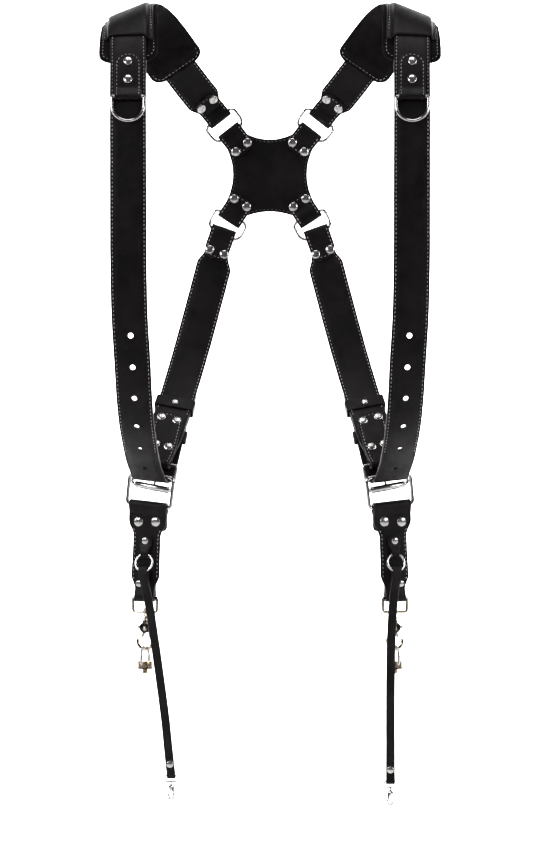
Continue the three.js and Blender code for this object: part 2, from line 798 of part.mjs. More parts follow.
function shoulderPad() {
  const { way, crest } = main;
  const [from, to] = [crest - padBack, crest + padFront];
  const halfAt = (s) =>
    Math.min(
      roundedHalf(padWidth / 2, padCorner, s - from),
      roundedHalf(padWidth / 2, padCorner, to - s),
    );
  const stations = way.stations(from, to, halfAt);
  const top = -strapThickness / 2 - layerGap;
  const bandInner = strapWidth / 2 + bandRoom;
  const bandOuter = bandInner + bandWall + bandFoot;
  return sweepSection(stations, ({ half, s }) => {
    const swell = smooth(Math.min(s - from, to - s) / (padCorner * 1.6));
    const thick = THREE.MathUtils.lerp(padEdge, padThickness, swell);
    const slope = padCorner * 0.6;
    const inner = Math.min(bandInner, half - 1.6);
    const outer = Math.min(bandOuter, half - 1.4);
    return [
      [-half, top - padEdge],
      [-half + slope, top - thick],
      [half - slope, top - thick],
      [half, top - padEdge],
      [half, top - 0.6],
      [half - 1.2, top],
      [outer, top],
      [inner, top],
      [-inner, top],
      [-outer, top],
      [-half + 1.2, top],
      [-half, top - 0.6],
    ];
  });
}

function padBand() {
  const { way, crest } = main;
  const inner = strapWidth / 2 + bandRoom;
  const seat = -strapThickness / 2 - layerGap + bandSeat;
  const roof = strapThickness / 2 + bandRoom;
  const outer = inner + bandWall;
  const stations = way.stations(crest - bandBack, crest + bandFront, () => inner);
  return sweepSection(stations, () => [
    [-outer - bandFoot, seat],
    [-inner, seat],
    [-inner, roof],
    [inner, roof],
    [inner, seat],
    [outer + bandFoot, seat],
    [outer + bandFoot, seat + bandWall * 0.7],
    [outer + 1, seat + bandWall],
    [outer - 1, roof + bandWall],
    [1 - outer, roof + bandWall],
    [-outer - 1, seat + bandWall],
    [-outer - bandFoot, seat + bandWall * 0.8],
  ]);
}

// Distances outward from the main strap's middle for the chest tab and its ring's bar
const tabBack = strapThickness / 2 + layerGap + chestTabThickness / 2;
const tabFront = tabBack + chestTabThickness + layerGap;
const chestBarOut = tabBack + chestTabThickness / 2 + eyeClearance + ringWire;
const chestBarAt = main.crest + chestTabTop + chestTabLength;

function chestTab() {
  const { way, crest } = main;
  const top = crest + chestTabTop;
  const half = chestTabWidth / 2;
  const rho = ringWire + eyeClearance + chestTabThickness / 2;
  const rows = [];
  for (const d of [0.3, 3, 8, 14]) {
    rows.push([top + d, tabFront, roundedHalf(half, half, d)]);
  }
  for (const d of [26, chestTabLength - foldReach]) rows.push([top + d, tabFront, half]);
  const steps = 5;
  for (let i = 0; i <= steps; i += 1) {
    const a = (Math.PI * i) / steps;
    rows.push([chestBarAt + rho * Math.sin(a), chestBarOut + rho * Math.cos(a), half]);
  }
  for (const d of [foldReach, 24, chestTabLength - half]) {
    rows.push([chestBarAt - d, tabBack, half]);
  }
  const stations = rows.map(([s, offset, h]) => {
    const { p, w, outward } = way.at(s);
    return { p: along(p, outward, offset), w, half: h };
  });
  const rivets = [0.21, 0.62].map((share) => {
    const { p, outward } = way.at(top + chestTabLength * share);
    const face = along(p, outward, tabFront + chestTabThickness / 2);
    return rivet(face, outward.clone().normalize());
  });
  return join([band(stations, chestTabThickness), ...rivets]);
}

function crossPatch() {
  const corners = [];
  const reach = (turn, side) => {
    const a = radians(turn);
    const away = vec(Math.sin(a), 0, side * Math.cos(a));
    const w = vec(Math.cos(a), 0, -side * Math.sin(a));
    const bar = vec(patchReachX, 0, side * patchReachZ);
    return { away, w, bar, root: along(bar, away, -foldReach) };
  };
  const upper = reach(upperArmTurn, 1);
  const lowerArm = reach(lowerArmTurn, -1);
  const half = patchArmWidth / 2;
  const corner = (arm, side) => along(arm.root, arm.w, side * half);
  corners.push(corner(upper, -1), corner(upper, 1), corner(lowerArm, 1), corner(lowerArm, -1));
  const [ul, ur, lr, ll] = corners;
  const shape = new THREE.Shape();
  shape.moveTo(-ul.x, ul.z);
  const hollow = (x, z, endX, endZ) => shape.quadraticCurveTo(x, z, endX, endZ);
  hollow(0, 2 * patchWaist - ul.z, ul.x, ul.z);
  shape.lineTo(ur.x, ur.z);
  hollow(2 * patchSide - (ur.x + lr.x) / 2, (ur.z + lr.z) / 2, lr.x, lr.z);
  shape.lineTo(ll.x, ll.z);
  hollow(0, -2 * patchWaist - ll.z, -ll.x, ll.z);
  shape.lineTo(-lr.x, lr.z);
  hollow((ur.x + lr.x) / 2 - 2 * patchSide, (ur.z + lr.z) / 2, -ur.x, ur.z);
  const lie = (patchThickness + layerGap) / 2;
  const plate = new THREE.ExtrudeGeometry(shape, {
    depth: patchThickness,
    bevelEnabled: false,
    curveSegments: 6,
  });
  plate.rotateX(Math.PI / 2);
  plate.translate(0, backDepth + lie + patchThickness / 2, -patchDrop);
  const pieces = [solidOf(plate)];
  for (const arm of [upper, lowerArm]) {
    for (const hand of [-1, 1]) {
      const flip = (v) => vec(hand * v.x, v.y, v.z);
      const bar = flip(arm.bar).add(vec(0, backDepth, -patchDrop));
      const away = flip(arm.away).negate();
      const w = flip(arm.w).multiplyScalar(hand);
      const isUpper = arm === upper;
      const fold = foldStations({
        bar,
        away,
        face: bodySide,
        w,
        barRadius: ringWire,
        thickness: patchThickness,
        tab: patchTab,
        half: foldWidth / 2,
        sag: isUpper
          ? foldSlack(backRingBow, upperRingTurn - upperArmTurn)
          : foldSlack(backRingBar, lowerRingTurn - lowerArmTurn),
      });
      const last = fold[fold.length - 1];
      fold.push({ ...last, p: along(last.p, away, 8), half: last.half });
      pieces.push(band(fold, patchThickness));
      const face = along(bar, bodySide, lie + patchThickness / 2);
      for (const side of [-1, 1]) {
        const p = along(along(face, away, patchTab - 6.5), w, side * 8);
        pieces.push(rivet(p, bodySide));
      }
    }
  }
  return join(pieces);
}

function lowerBackStrap() {
  const { fold, top, way } = lower;
  const thickness = lowerStrapThickness;
  const half = strapWidth / 2;
  const narrow = foldWidth / 2;
  const bent = { thickness, half: narrow - 2 * layerGap };
  const heelEnd = { ...fold, ...bent, tab: buckleTab, tabHalf: narrow * 1.16 };
  const headEnd = { ...top, ...bent, tab: lowerFoldTab };
  const halfAt = (s) =>
    THREE.MathUtils.lerp(
      narrow,
      half,
      Math.min(smooth(s / heelWidening), smooth((way.length - s - 8) / narrowing)),
    );
  const heel = layFold(way, false, halfAt, heelEnd);
  const head = layFold(way, true, halfAt, headEnd);
  const run = way.stations(0, way.length, halfAt);
  const solid = band([...heel.bend, ...run, ...head.bend.reverse()], thickness);
  const rivets = [-1, 1].flatMap((side) => [
    tabRivet(way, false, heelEnd, buckleTab - 8, side * 8.6),
    tabRivet(way, false, heelEnd, buckleRivetAt, side * 7),
    tabRivet(way, true, headEnd, 20, side * 8.2),
  ]);
  const slot = block(prongEye + 1.2, 12, 15, 0, 0, buckleHeight - 1).transform(
    buckleFrame.elements,
  );
  return cut(join([solid, heel.tab, head.tab, ...rivets]), [slot]);
}

// A leather loop round the lower strap at a distance from the heel bar
function keeper(distance, inward, outwardReach, withRivet) {
  const { p, w, run, outward } = lower.way.at(distance);
  const half = strapWidth / 2 + keeperRoom;
  const [low, high] = [-inward, outwardReach];
  const rect = (a, b, c) => [
    new THREE.Vector2(-a, b),
    new THREE.Vector2(a, b),
    new THREE.Vector2(a, c),
    new THREE.Vector2(-a, c),
  ];
  const shape = new THREE.Shape(
    rect(half + keeperWall, low - keeperWall, high + keeperWall),
  );
  shape.holes.push(new THREE.Path(rect(half, low, high)));
  const loop = new THREE.ExtrudeGeometry(shape, { depth: keeperLength, bevelEnabled: false });
  loop.translate(0, 0, -keeperLength / 2);
  outward.normalize();
  const square = outward.clone().cross(run).normalize();
  loop.applyMatrix4(frameAt(p, square, outward, square.clone().cross(outward)));
  const face = along(p, outward, low - keeperWall);
  const pieces = [solidOf(loop)];
  if (withRivet) {
    pieces.push(rivet(face, outward.clone().normalize().negate(), smallRivetRadius));
  }
  return join(pieces);
}

// Hanger, from the hip ring's bottom bar to the hook ring's top bar

const hangerTopBar = pointIn(hipRingFrame, 0, 0, -hipRingHeight);
const hangerWidthWay = axisOf(hipFrame, 0);
const levelWidth = widthDirection(-hipYaw, 0);
const hangerFootBar = along(hangerTopBar, levelWidth, -hangerLean).setZ(hangerTopBar.z - hangerLength);
const hangerRun = hangerFootBar.clone().sub(hangerTopBar).normalize();
const hangerFace = vec(-Math.sin(radians(hipYaw)), -Math.cos(radians(hipYaw)), 0);

// Half width of the hanger at shares of its length
const hangerShares = [
  { share: 0, half: hangerWidth / 2 },
  { share: 0.2, half: hangerWidth / 2 },
  { share: 0.225, half: hangerWidth / 2 - 1.2 },
  { share: 0.26, half: hangerWaist / 2 + 1.4 },
  { share: 0.3, half: hangerWaist / 2 },
  { share: 0.55, half: hangerWaist / 2 },
  { share: 0.78, half: hangerWaist / 2 + 0.6 },
  { share: 0.84, half: (hangerWaist + hangerFoldWidth) / 4 + 0.8 },
];

function hanger() {
  const t = hangerThickness;
  const lie = (t + layerGap) / 2;
  const back = hangerFace.clone().negate();
  const topFold = foldStations({
    bar: hangerTopBar,
    away: hangerRun,
    face: back,
    w: hangerWidthWay,
    barRadius: hipRingWire,
    thickness: t,
    tab: hangerTopTab,
    half: hangerWidth / 2,
    sag: 0.5,
  });
  const footFold = foldStations({
    bar: hangerFootBar,
    away: hangerRun.clone().negate(),
    face: back,
    w: levelWidth,
    barRadius: hookRingWire,
    thickness: t,
    tab: hangerFootTab,
    half: hangerFoldWidth / 2,
    sag: 0.5,
  });
  const run = hangerShares
    .filter(({ share }) => share * hangerLength > foldReach + 1)
    .map(({ share, half }) => ({
      p: along(along(hangerTopBar, hangerRun, share * hangerLength), hangerFace, lie),
      w: hangerWidthWay.clone().lerp(levelWidth, share).normalize(),
      half,
    }));
  const solid = band([...topFold, ...run, ...footFold.reverse()], t);
  const face = along(hangerTopBar, hangerFace, lie + t / 2);
  const studs = [
    { down: 16.5, across: -9.6, radius: rivetRadius + 0.3 },
    { down: 16.5, across: 9.6, radius: rivetRadius + 0.3 },
    { down: hangerLength - 14, across: -6.5, radius: smallRivetRadius },
  ].map(({ down, across, radius }) =>
    rivet(along(along(face, hangerRun, down), levelWidth, across), hangerFace, radius),
  );
  return join([solid, ...studs]);
}

// The round ring's top wire, in the fold of the strip on the hanger's face
const hangerFront = (hangerThickness + layerGap) / 2 + hangerThickness / 2;
const stripMiddle = hangerFront + layerGap + stripThickness + layerGap / 2;
const stripBarOut = hangerFront + layerGap + stripThickness + eyeClearance + roundRingWire + 0.05;
const stripBar = along(
  along(hangerTopBar, hangerRun, stripTop + stripLength),
  hangerFace,
  stripBarOut,
);

function ringStrip() {
  const fold = foldStations({
    bar: stripBar,
    away: hangerRun.clone().negate(),
    face: hangerFace,
    w: levelWidth,
    barRadius: roundRingWire,
    thickness: stripThickness,
    tab: stripLength,
    half: stripWidth / 2,
    sag: 1.3,
    shift: stripMiddle - stripBarOut,
  });
  const wide = fold.map((station) => {
    const up = station.p.clone().sub(stripBar).dot(hangerRun) * -1;
    const share = smooth((up - 3) / 8);
    const half = THREE.MathUtils.lerp(stripWidth * 0.3, stripWidth / 2, share);
    return { ...station, half };
  });
  const last = wide[wide.length - 1];
  const rest = stripLength - foldReach - 2.5;
  wide.push({ ...last, p: along(last.p, hangerRun, -rest), half: stripWidth / 2 });
  wide[0].half = stripWidth * 0.32;
  const out = stripMiddle - stripBarOut + layerGap / 2 + stripThickness;
  const p = along(along(stripBar, hangerRun, -stripLength * 0.68), hangerFace, out);
  return join([
    band(wide, stripThickness),
    rivet(p, hangerFace, smallRivetRadius + 0.2),
  ]);
}

const roundRingFrame = turned(
  barFrame(stripBar, levelWidth, vec(0, 0, 1)),
  vec(1, 0, 0),
  -roundRingLean,
);

// Snap hooks, each in a frame whose origin is the bar that it hangs on

function hookEye(length, clearance, eye) {
  const plan = hookPlan;
  const centre = eye.rise - eye.tall / 2;
  const halfZ = eye.tall / 2;
  const top = centre + halfZ;
  const points = ringPoints(eye.across, eye.tall, eye.corner, eye.corner);
  const loop = flatWire(points, eye.wire, 6, true).translate(0, 0, top);
  const foot = centre - halfZ;
  const neckTop = foot - eye.wire * 0.2;
  const flangeFoot = -plan.collarTop * length + clearance;
  const headTop = -plan.collarFoot * length - clearance;
  const headFoot = -plan.pocketFoot * length + clearance;
  const neck = plan.neckRadius * length;
  const post = plan.postRadius * length;
  const head = plan.headRadius * length;
  const profile = [
    [0, headFoot],
    [head, headFoot],
    [head, headTop],
    [post, headTop],
    [post, flangeFoot],
    [neck, flangeFoot],
    [post * 1.1, neckTop],
    [0, neckTop],
  ].map(([x, y]) => new THREE.Vector2(x, y));
  const turnedPost = new THREE.LatheGeometry(profile, 8).rotateX(Math.PI / 2);
  const loopTurned = eye.edgeOn ? loop.rotate([0, 0, 90]) : loop;
  return join([loopTurned, solidOf(turnedPost)]);
}

function hookBody(length, clearance) {
  const plan = hookPlan;
  const at = (share) => share * length;
  const cheekOuter = at(plan.leverHalf + plan.cheek) + clearance;
  const slotHalf = at(plan.leverHalf) + clearance;
  const outline = [
    [-plan.neckRadius * 1.05, plan.collarTop],
    [plan.neckRadius * 1.05, plan.collarTop],
    [plan.blockRight, plan.collarFoot + 0.03],
    [plan.blockRight, plan.blockFoot - 0.04],
    [plan.blockRight - 0.05, plan.blockFoot],
    [-plan.blockLeft + 0.05, plan.blockFoot],
    [-plan.blockLeft, plan.blockFoot - 0.06],
    [-plan.blockLeft, plan.collarFoot + 0.03],
  ].map(([across, down]) => new THREE.Vector2(at(across), -at(down)));
  const core = new THREE.ExtrudeGeometry(new THREE.Shape(outline), {
    depth: 2 * cheekOuter,
    bevelEnabled: false,
  });
  core.rotateX(Math.PI / 2);
  core.translate(0, cheekOuter, 0);
  const loopZ = -at(plan.loopDown);
  const claw = at(plan.clawRadius);
  const arc = arcPoints(0, loopZ, at(plan.loopRadius), 42, -208, 9);
  const points = [[at(0.122), -at(0.44)], [at(0.138), -at(0.52)], ...arc];
  const tips = points.length - 1;
  const hook = flatWire(
    points,
    (i) => (i === tips ? claw * 0.6 : claw),
    6,
    false,
  );
  const pivot = vec(at(plan.pivotAcross), 0, -at(plan.pivotDown));
  const slotTop = at(plan.slotTop);
  const slotLeft = at(plan.blockLeft) + 3;
  const slotFoot = at(plan.blockFoot) + 1;
  const slotWidth = slotLeft + at(plan.slotRight);
  const slot = block(
    slotWidth,
    2 * slotHalf,
    slotFoot - slotTop,
    at(plan.slotRight) - slotWidth / 2,
    0,
    -(slotTop + slotFoot) / 2,
  );
  const up = vec(0, 0, 1);
  const bore = roundTool(
    vec(0, 0, -at(plan.collarTop + plan.collarFoot) / 2),
    up,
    at(plan.postRadius) + clearance,
    at(plan.collarFoot - plan.collarTop) + 2,
    8,
  );
  const pocket = roundTool(
    vec(0, 0, -at(plan.collarFoot + plan.slotTop + 0.02) / 2),
    up,
    at(plan.headRadius) + clearance,
    at(plan.slotTop + 0.02 - plan.collarFoot),
    8,
  );
  const shell = cut(join([solidOf(core), hook]), [slot, bore, pocket]);
  const pin = roundTool(pivot, vec(0, 1, 0), at(plan.pinRadius), 2 * cheekOuter - 0.4, 6);
  return join([shell, pin]);
}

function hookLever(length, clearance) {
  const plan = hookPlan;
  const at = (share) => share * length;
  const shape = new THREE.Shape(
    leverOutline.map(({ across, down }) => new THREE.Vector2(at(across), -at(down))),
  );
  const geometry = new THREE.ExtrudeGeometry(shape, {
    depth: 2 * at(plan.leverHalf),
    bevelEnabled: false,
  });
  geometry.rotateX(Math.PI / 2);
  geometry.translate(0, at(plan.leverHalf), 0);
  const pivot = vec(at(plan.pivotAcross), 0, -at(plan.pivotDown));
  const hole = roundTool(pivot, vec(0, 1, 0), at(plan.pinRadius) + clearance, 20, 6);
  return cut(solidOf(geometry), [hole]).translate(-pivot.x, 0, -pivot.z);
}

const leverPivot = (frame, length) =>
  moved(frame, hookPlan.pivotAcross * length, 0, -hookPlan.pivotDown * length);

// Screw connector, in the frame of the drum's pivot, with the drum's axis along Z

function connectorBail() {
  const r = bailHalf;
  const straight = bailReach - r;
  const pinEnd = drumRadius - bailPinDepth;
  const points = [
    [-pinEnd, 0],
    [-r + 0.9, 0.2],
    [-r, 1.6],
    ...arcPoints(0, straight, r, 180, 0, 8),
    [r, 1.6],
    [r - 0.9, 0.2],
    [pinEnd, 0],
  ];
  return flatWire(points, bailWire, 6, false).rotate([0, 0, 90]);
}

function connectorDrum() {
  const half = drumHeight / 2;
  const chamfer = 0.6;
  const profile = [
    [0, -half - washerThickness - screwLength],
    [screwRadius, -half - washerThickness - screwLength],
    [screwRadius, -half],
    [drumRadius, -half],
    [drumRadius, half - chamfer],
    [drumRadius - chamfer, half],
    [0, half],
  ].map(([x, y]) => new THREE.Vector2(x, y));
  const body = solidOf(new THREE.LatheGeometry(profile, 14).rotateX(Math.PI / 2));
  const depth = bailPinDepth + eyeClearance;
  const bores = [-1, 1].map((side) =>
    roundTool(
      vec(0, side * (drumRadius - depth / 2 + 1), 0),
      vec(0, 1, 0),
      bailWire + eyeClearance * 1.6,
      depth + 2,
      8,
    ),
  );
  return cut(body, bores);
}

function connectorWasher() {
  const top = -drumHeight / 2 - layerGap;
  const foot = -drumHeight / 2 - washerThickness;
  const hole = screwRadius + eyeClearance;
  const profile = [
    [hole, foot],
    [drumRadius, foot],
    [drumRadius, top],
    [hole, top],
    [hole, foot],
  ].map(([x, y]) => new THREE.Vector2(x, y));
  return solidOf(new THREE.LatheGeometry(profile, 14).rotateX(Math.PI / 2));
}

// Buckle pieces

function buckleFramePiece() {
  const points = hangingRing(buckleWidth, buckleHeight, 2.8, 2.8, buckleWire);
  return points.translate(0, 0, buckleHeight);
}

function buckleRoller() {
  const bore = buckleWire + rollerBore;
  const half = rollerLength / 2;
  const profile = [
    [bore, -half],
    [rollerRadius, -half],
    [rollerRadius, half],
    [bore, half],
    [bore, -half],
  ].map(([x, y]) => new THREE.Vector2(x, y));
  return solidOf(new THREE.LatheGeometry(profile, 12).rotateZ(Math.PI / 2));
}

// The prong's way in the buckle's frame, from its eye to its tip behind the roller
const prongTipY = rollerRadius + eyeClearance + prongRadius;
const prongPoints = [
  [buckleWire + eyeClearance + prongRadius, buckleHeight - 1],
  [buckleWire + eyeClearance + prongRadius + 0.6, buckleHeight * 0.7],
  [prongTipY - 0.9, buckleHeight * 0.3],
  [prongTipY - 0.2, rollerRadius * 0.8],
  [prongTipY - 0.1, -rollerRadius * 0.7],
  [prongTipY - 1.2, -rollerRadius - 1.2],
];

function prongShank(extra) {
  const tip = prongPoints.length - 1;
  return flatWire(
    prongPoints,
    (i) => prongRadius * (i === tip ? 0.7 : 1) + extra,
    6,
    false,
  ).rotate([0, 0, 90]);
}

function bucklePronged() {
  const bore = buckleWire + eyeClearance * 1.7;
  const outer = bore + 1.4;
  const half = prongEye / 2;
  const profile = [
    [bore, -half],
    [outer, -half],
    [outer, half],
    [bore, half],
    [bore, -half],
  ].map(([x, y]) => new THREE.Vector2(x, y));
  const eye = new THREE.LatheGeometry(profile, 8).rotateZ(Math.PI / 2);
  eye.translate(0, 0, buckleHeight);
  return cut(join([solidOf(eye), prongShank(0)]), [
    roundTool(vec(0, 0, buckleHeight), vec(1, 0, 0), bore, 20, 8),
  ]);
}

// Tether and what hangs on it

const tetherBar = pointIn(roundRingFrame, 0, 0, -2 * roundRingRadius);

function tetherPieces(rows) {
  const t = tetherThickness;
  const inward = vec(1, 0, 0);
  const front = vec(0, -1, 0);
  const points = rows.map(({ across, out, down }) =>
    along(along(along(tetherBar, inward, across), front, out), vec(0, 0, -1), down),
  );
  const lie = (t + layerGap) / 2;
  const w = levelWidth;
  const first = points[0].clone().sub(tetherBar).normalize();
  const topFace = w.clone().cross(first).normalize();
  const top = { bar: tetherBar, away: first, w, face: topFace, barRadius: roundRingWire };
  const eye = { wire: 0.9 };
  const end = points[points.length - 1];
  const before = points[points.length - 2];
  const last = before.clone().sub(end).normalize();
  const foot = { bar: end, away: last, w: vec(1, 0, 0), face: front, barRadius: eye.wire };
  const topFold = foldStations({
    ...top,
    thickness: t,
    tab: tetherTab,
    half: tetherWidth / 2,
    sag: 2.4,
  });
  const footFold = foldStations({
    ...foot,
    thickness: t,
    tab: tetherTab,
    half: tetherWidth / 2,
  });
  const start = topFold[topFold.length - 1];
  const finish = footFold[footFold.length - 1];
  const way = new Way([
    start,
    ...points.slice(1, -1).map((p) => ({ p, w: w.clone().lerp(foot.w, 0.6).normalize() })),
    finish,
  ]);
  const run = way.stations(0, way.length, () => tetherWidth / 2).slice(1, -1);
  const stud = ({ bar, away, face }, distance) =>
    rivet(
      along(along(bar, away, distance), face, lie + t / 2),
      face,
      smallRivetRadius + 0.4,
    );
  const strap = join([
    band([...topFold, ...run, ...footFold.reverse()], t),
    stud(top, tetherTab - 6),
    stud(foot, tetherTab - 5),
  ]);
  const hookFrame = turned(
    barFrame(end, foot.w, vec(0, 0, 1)),
    vec(0, 0, 1),
    0,
  );
  return { strap, hookFrame };
}

const mainEyeWire = 1.3;
const mainEye = {
  across: 6.8,
  tall: 6.8,
  corner: 3.4,
  wire: mainEyeWire,
  rise: hookRingWire + eyeClearance + mainEyeWire,
  edgeOn: true,
};
const smallEyeTall = 6.2;
const smallEye = {
  across: 13,
  tall: smallEyeTall,
  corner: 1.6,
  wire: 0.9,
  rise: smallEyeTall - 0.087 * smallHookLength,
};

// One side, in left-hand coordinates

function addPiece(group, name, finish, solid, frame) {
  const material = new THREE.MeshStandardMaterial(finishes[finish]);
  const mesh = new THREE.Mesh(geometryOf(solid), material);
  mesh.name = name;
  if (frame) frame.decompose(mesh.position, mesh.quaternion, mesh.scale);
  group.add(mesh);
}

function addRingsAndBuckle(group, name) {
  const add = (piece, finish, solid, frame) =>
    addPiece(group, `${name}_${piece}`, finish, solid, frame);
  const chestBar = main.way.at(chestBarAt);
  const chestFrame = turned(
    frameAt(
      along(chestBar.p, chestBar.outward, chestBarOut),
      chestBar.w,
      chestBar.outward.clone().negate(),
      chestBar.run.clone().negate(),
    ),
    vec(1, 0, 0),
    chestRingLean,
  );
  add(
    'chest_ring',
    'nickel',
    hangingRing(chestRingWidth, chestRingHeight, 2.2, chestRingWidth / 2, ringWire),
    chestFrame,
  );
  const backRing = () =>
    hangingRing(backRingWidth, backRingHeight, backRingBar, backRingBow, ringWire);
  const upperFrame = barFrame(upperRing.far, widthDirection(0, upperRingTurn), vec(0, 0, 1));
  add('upper_back_ring', 'nickel', backRing(), upperFrame);
  const lowerFrame = barFrame(lowerRing.bar, widthDirection(0, -lowerRingTurn), vec(0, 0, 1));
  add('lower_back_ring', 'nickel', backRing(), lowerFrame);
  add('buckle_frame', 'nickel', buckleFramePiece(), buckleFrame);
  add('buckle_roller', 'nickel', buckleRoller(), buckleFrame);
  add('buckle_prong', 'nickel', bucklePronged(), buckleFrame);
  add(
    'hip_ring',
    'nickel',
    hangingRing(hipRingWidth, hipRingHeight, 5, 4, hipRingWire),
    hipRingFrame,
  );
  const hookRingFrame = barFrame(hangerFootBar, levelWidth, vec(0, 0, 1));
  add(
    'hook_ring',
    'nickel',
    hangingRing(hookRingWidth, hookRingHeight, 2.4, 2.6, hookRingWire),
    hookRingFrame,
  );
  add(
    'round_ring',
    'nickel',
    hangingRing(
      2 * roundRingRadius,
      2 * roundRingRadius,
      roundRingRadius,
      roundRingRadius,
      roundRingWire,
    ),
    roundRingFrame,
  );
  return moved(hookRingFrame, 0, 0, -hookRingHeight);
}

function addHooks(group, name, hookFrame, tetherRows) {
  const add = (piece, finish, solid, frame) =>
    addPiece(group, `${name}_${piece}`, finish, solid, frame);
  add('hook_eye', 'nickel', hookEye(hookLength, hookClearance, mainEye), hookFrame);
  add('hook_body', 'nickel', hookBody(hookLength, hookClearance), hookFrame);
  add('hook_lever', 'nickel', hookLever(hookLength, hookClearance), leverPivot(hookFrame, hookLength));
  const plan = hookPlan;
  const clawFloor =
    -(plan.loopDown + plan.loopRadius - plan.clawRadius) * hookLength + eyeClearance + bailWire;
  const drumFrame = moved(hookFrame, 0, 0, clawFloor - bailReach);
  add('connector_bail', 'steel', connectorBail(), drumFrame);
  add('connector_drum', 'steel', connectorDrum(), drumFrame);
  add('connector_washer', 'rubber', connectorWasher(), drumFrame);
  const { strap, hookFrame: footFrame } = tetherPieces(tetherRows);
  add('tether', 'leather', strap);
  const eyeFrame = moved(footFrame, 0, 0, -smallEye.rise);
  const turnedFrame = turned(eyeFrame, vec(0, 0, 1), smallHookYaw);
  add('tether_hook_eye', 'nickel', hookEye(smallHookLength, smallHookClearance, smallEye), eyeFrame);
  add('tether_hook_body', 'nickel', hookBody(smallHookLength, smallHookClearance), turnedFrame);
  add(
    'tether_hook_lever',
    'nickel',
    hookLever(smallHookLength, smallHookClearance),
    leverPivot(turnedFrame, smallHookLength),
  );
  const smallFloor =
    -(plan.loopDown + plan.loopRadius - plan.clawRadius) * smallHookLength +
    eyeClearance +
    splitRingWire;
  const splitFrame = turned(moved(turnedFrame, 0, 0, smallFloor), vec(0, 0, 1), 90);
  add(
    'split_ring',
    'nickel',
    hangingRing(
      2 * splitRingRadius,
      2 * splitRingRadius,
      splitRingRadius,
      splitRingRadius,
      splitRingWire,
    ),
    splitFrame,
  );
}

function addSide(name, tetherRows) {
  const group = new THREE.Group();
  const add = (piece, finish, solid) => addPiece(group, `${name}_${piece}`, finish, solid);
  add('main_strap', 'leather', cut(mainStrap(), [prongShank(0.6).transform(buckleFrame.elements)]));
  add('shoulder_pad', 'suede', shoulderPad());
  add('pad_band', 'leather', padBand());
  add('chest_tab', 'leather', chestTab());
  add('lower_back_strap', 'leather', lowerBackStrap());
  const freeInner = freeEndOffset - strapThickness / 2;
  const freeOuter = freeEndOffset + strapThickness / 2 + keeperRoom;
  const strapFace = lowerStrapThickness / 2;
  add('upper_keeper', 'leather', keeper(upperKeeperAt, strapFace + keeperRoom, freeOuter, true));
  add('lower_keeper', 'leather', keeper(lowerKeeperAt, 3 * layerGap - freeInner, freeOuter + 0.5, false));
  add('hanger', 'leather', hanger());
  add('ring_strip', 'leather', ringStrip());
  const hookFrame = addRingsAndBuckle(group, name);
  addHooks(group, name, hookFrame, tetherRows);
  return group;
}

const harness = new THREE.Group();
addPiece(harness, 'cross_patch', 'leather', crossPatch());
harness.add(addSide('left', leftTetherWay));
const rightSide = addSide('right', rightTetherWay);
rightSide.scale.x = -1;
harness.add(rightSide);

export default harness;
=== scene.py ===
"""Looks of a dual camera harness: stitched leather straps over padded shoulders, joined by a
cross patch, with a hanger, a snap hook, a screw connector and a safety tether at each hip.

All lengths are in metres, in the frame's own axes: +Z up, the wearer faces -Y. Each side is
worked out once in left-hand coordinates and mirrored for the right.
"""

import logging
import math
from collections.abc import Sequence
from dataclasses import dataclass, field, replace
from enum import Enum

import bmesh
import bpy
import numpy as np
from mathutils import Matrix


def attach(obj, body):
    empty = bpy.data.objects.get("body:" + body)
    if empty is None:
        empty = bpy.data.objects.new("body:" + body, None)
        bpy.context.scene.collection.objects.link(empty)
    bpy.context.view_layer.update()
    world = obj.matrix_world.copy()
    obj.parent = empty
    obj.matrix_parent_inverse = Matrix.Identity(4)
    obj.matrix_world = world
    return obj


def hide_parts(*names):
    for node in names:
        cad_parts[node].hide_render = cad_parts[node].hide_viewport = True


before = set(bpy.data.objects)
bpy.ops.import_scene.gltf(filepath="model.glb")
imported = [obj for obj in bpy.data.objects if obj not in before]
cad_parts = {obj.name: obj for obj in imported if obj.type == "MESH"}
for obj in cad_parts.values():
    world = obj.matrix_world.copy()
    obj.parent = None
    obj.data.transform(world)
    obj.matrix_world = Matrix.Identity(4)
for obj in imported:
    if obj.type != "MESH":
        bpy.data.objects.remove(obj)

log = logging.getLogger("harness")

MM = 0.001
BODY = "harness"
TOWARDS_BODY = np.array([0.0, -1.0, 0.0])
UP = np.array([0.0, 0.0, 1.0])


# Small vector helpers


def unit(v: np.ndarray) -> np.ndarray:
    """Scale vectors, along the last axis, to length one."""
    return v / np.linalg.norm(v, axis=-1, keepdims=True)


def vec(x: float, y: float, z: float) -> np.ndarray:
    """Make a vector."""
    return np.array([x, y, z], dtype=float)


def width_direction(yaw: float, roll: float) -> np.ndarray:
    """Give the direction across a strap from its outer edge to its inner one.

    Args:
        yaw: Turn about the vertical, in degrees.
        roll: Rise of the inner edge, in degrees.

    Returns:
        A unit vector.
    """
    a, b = math.radians(yaw), math.radians(roll)
    return vec(math.cos(a) * math.cos(b), math.sin(a) * math.cos(b), math.sin(b))


def smooth(x: np.ndarray | float) -> np.ndarray:
    """Ease from 0 to 1: three x squared less two x cubed, held at its ends."""
    x = np.clip(x, 0.0, 1.0)
    return x * x * (3.0 - 2.0 * x)


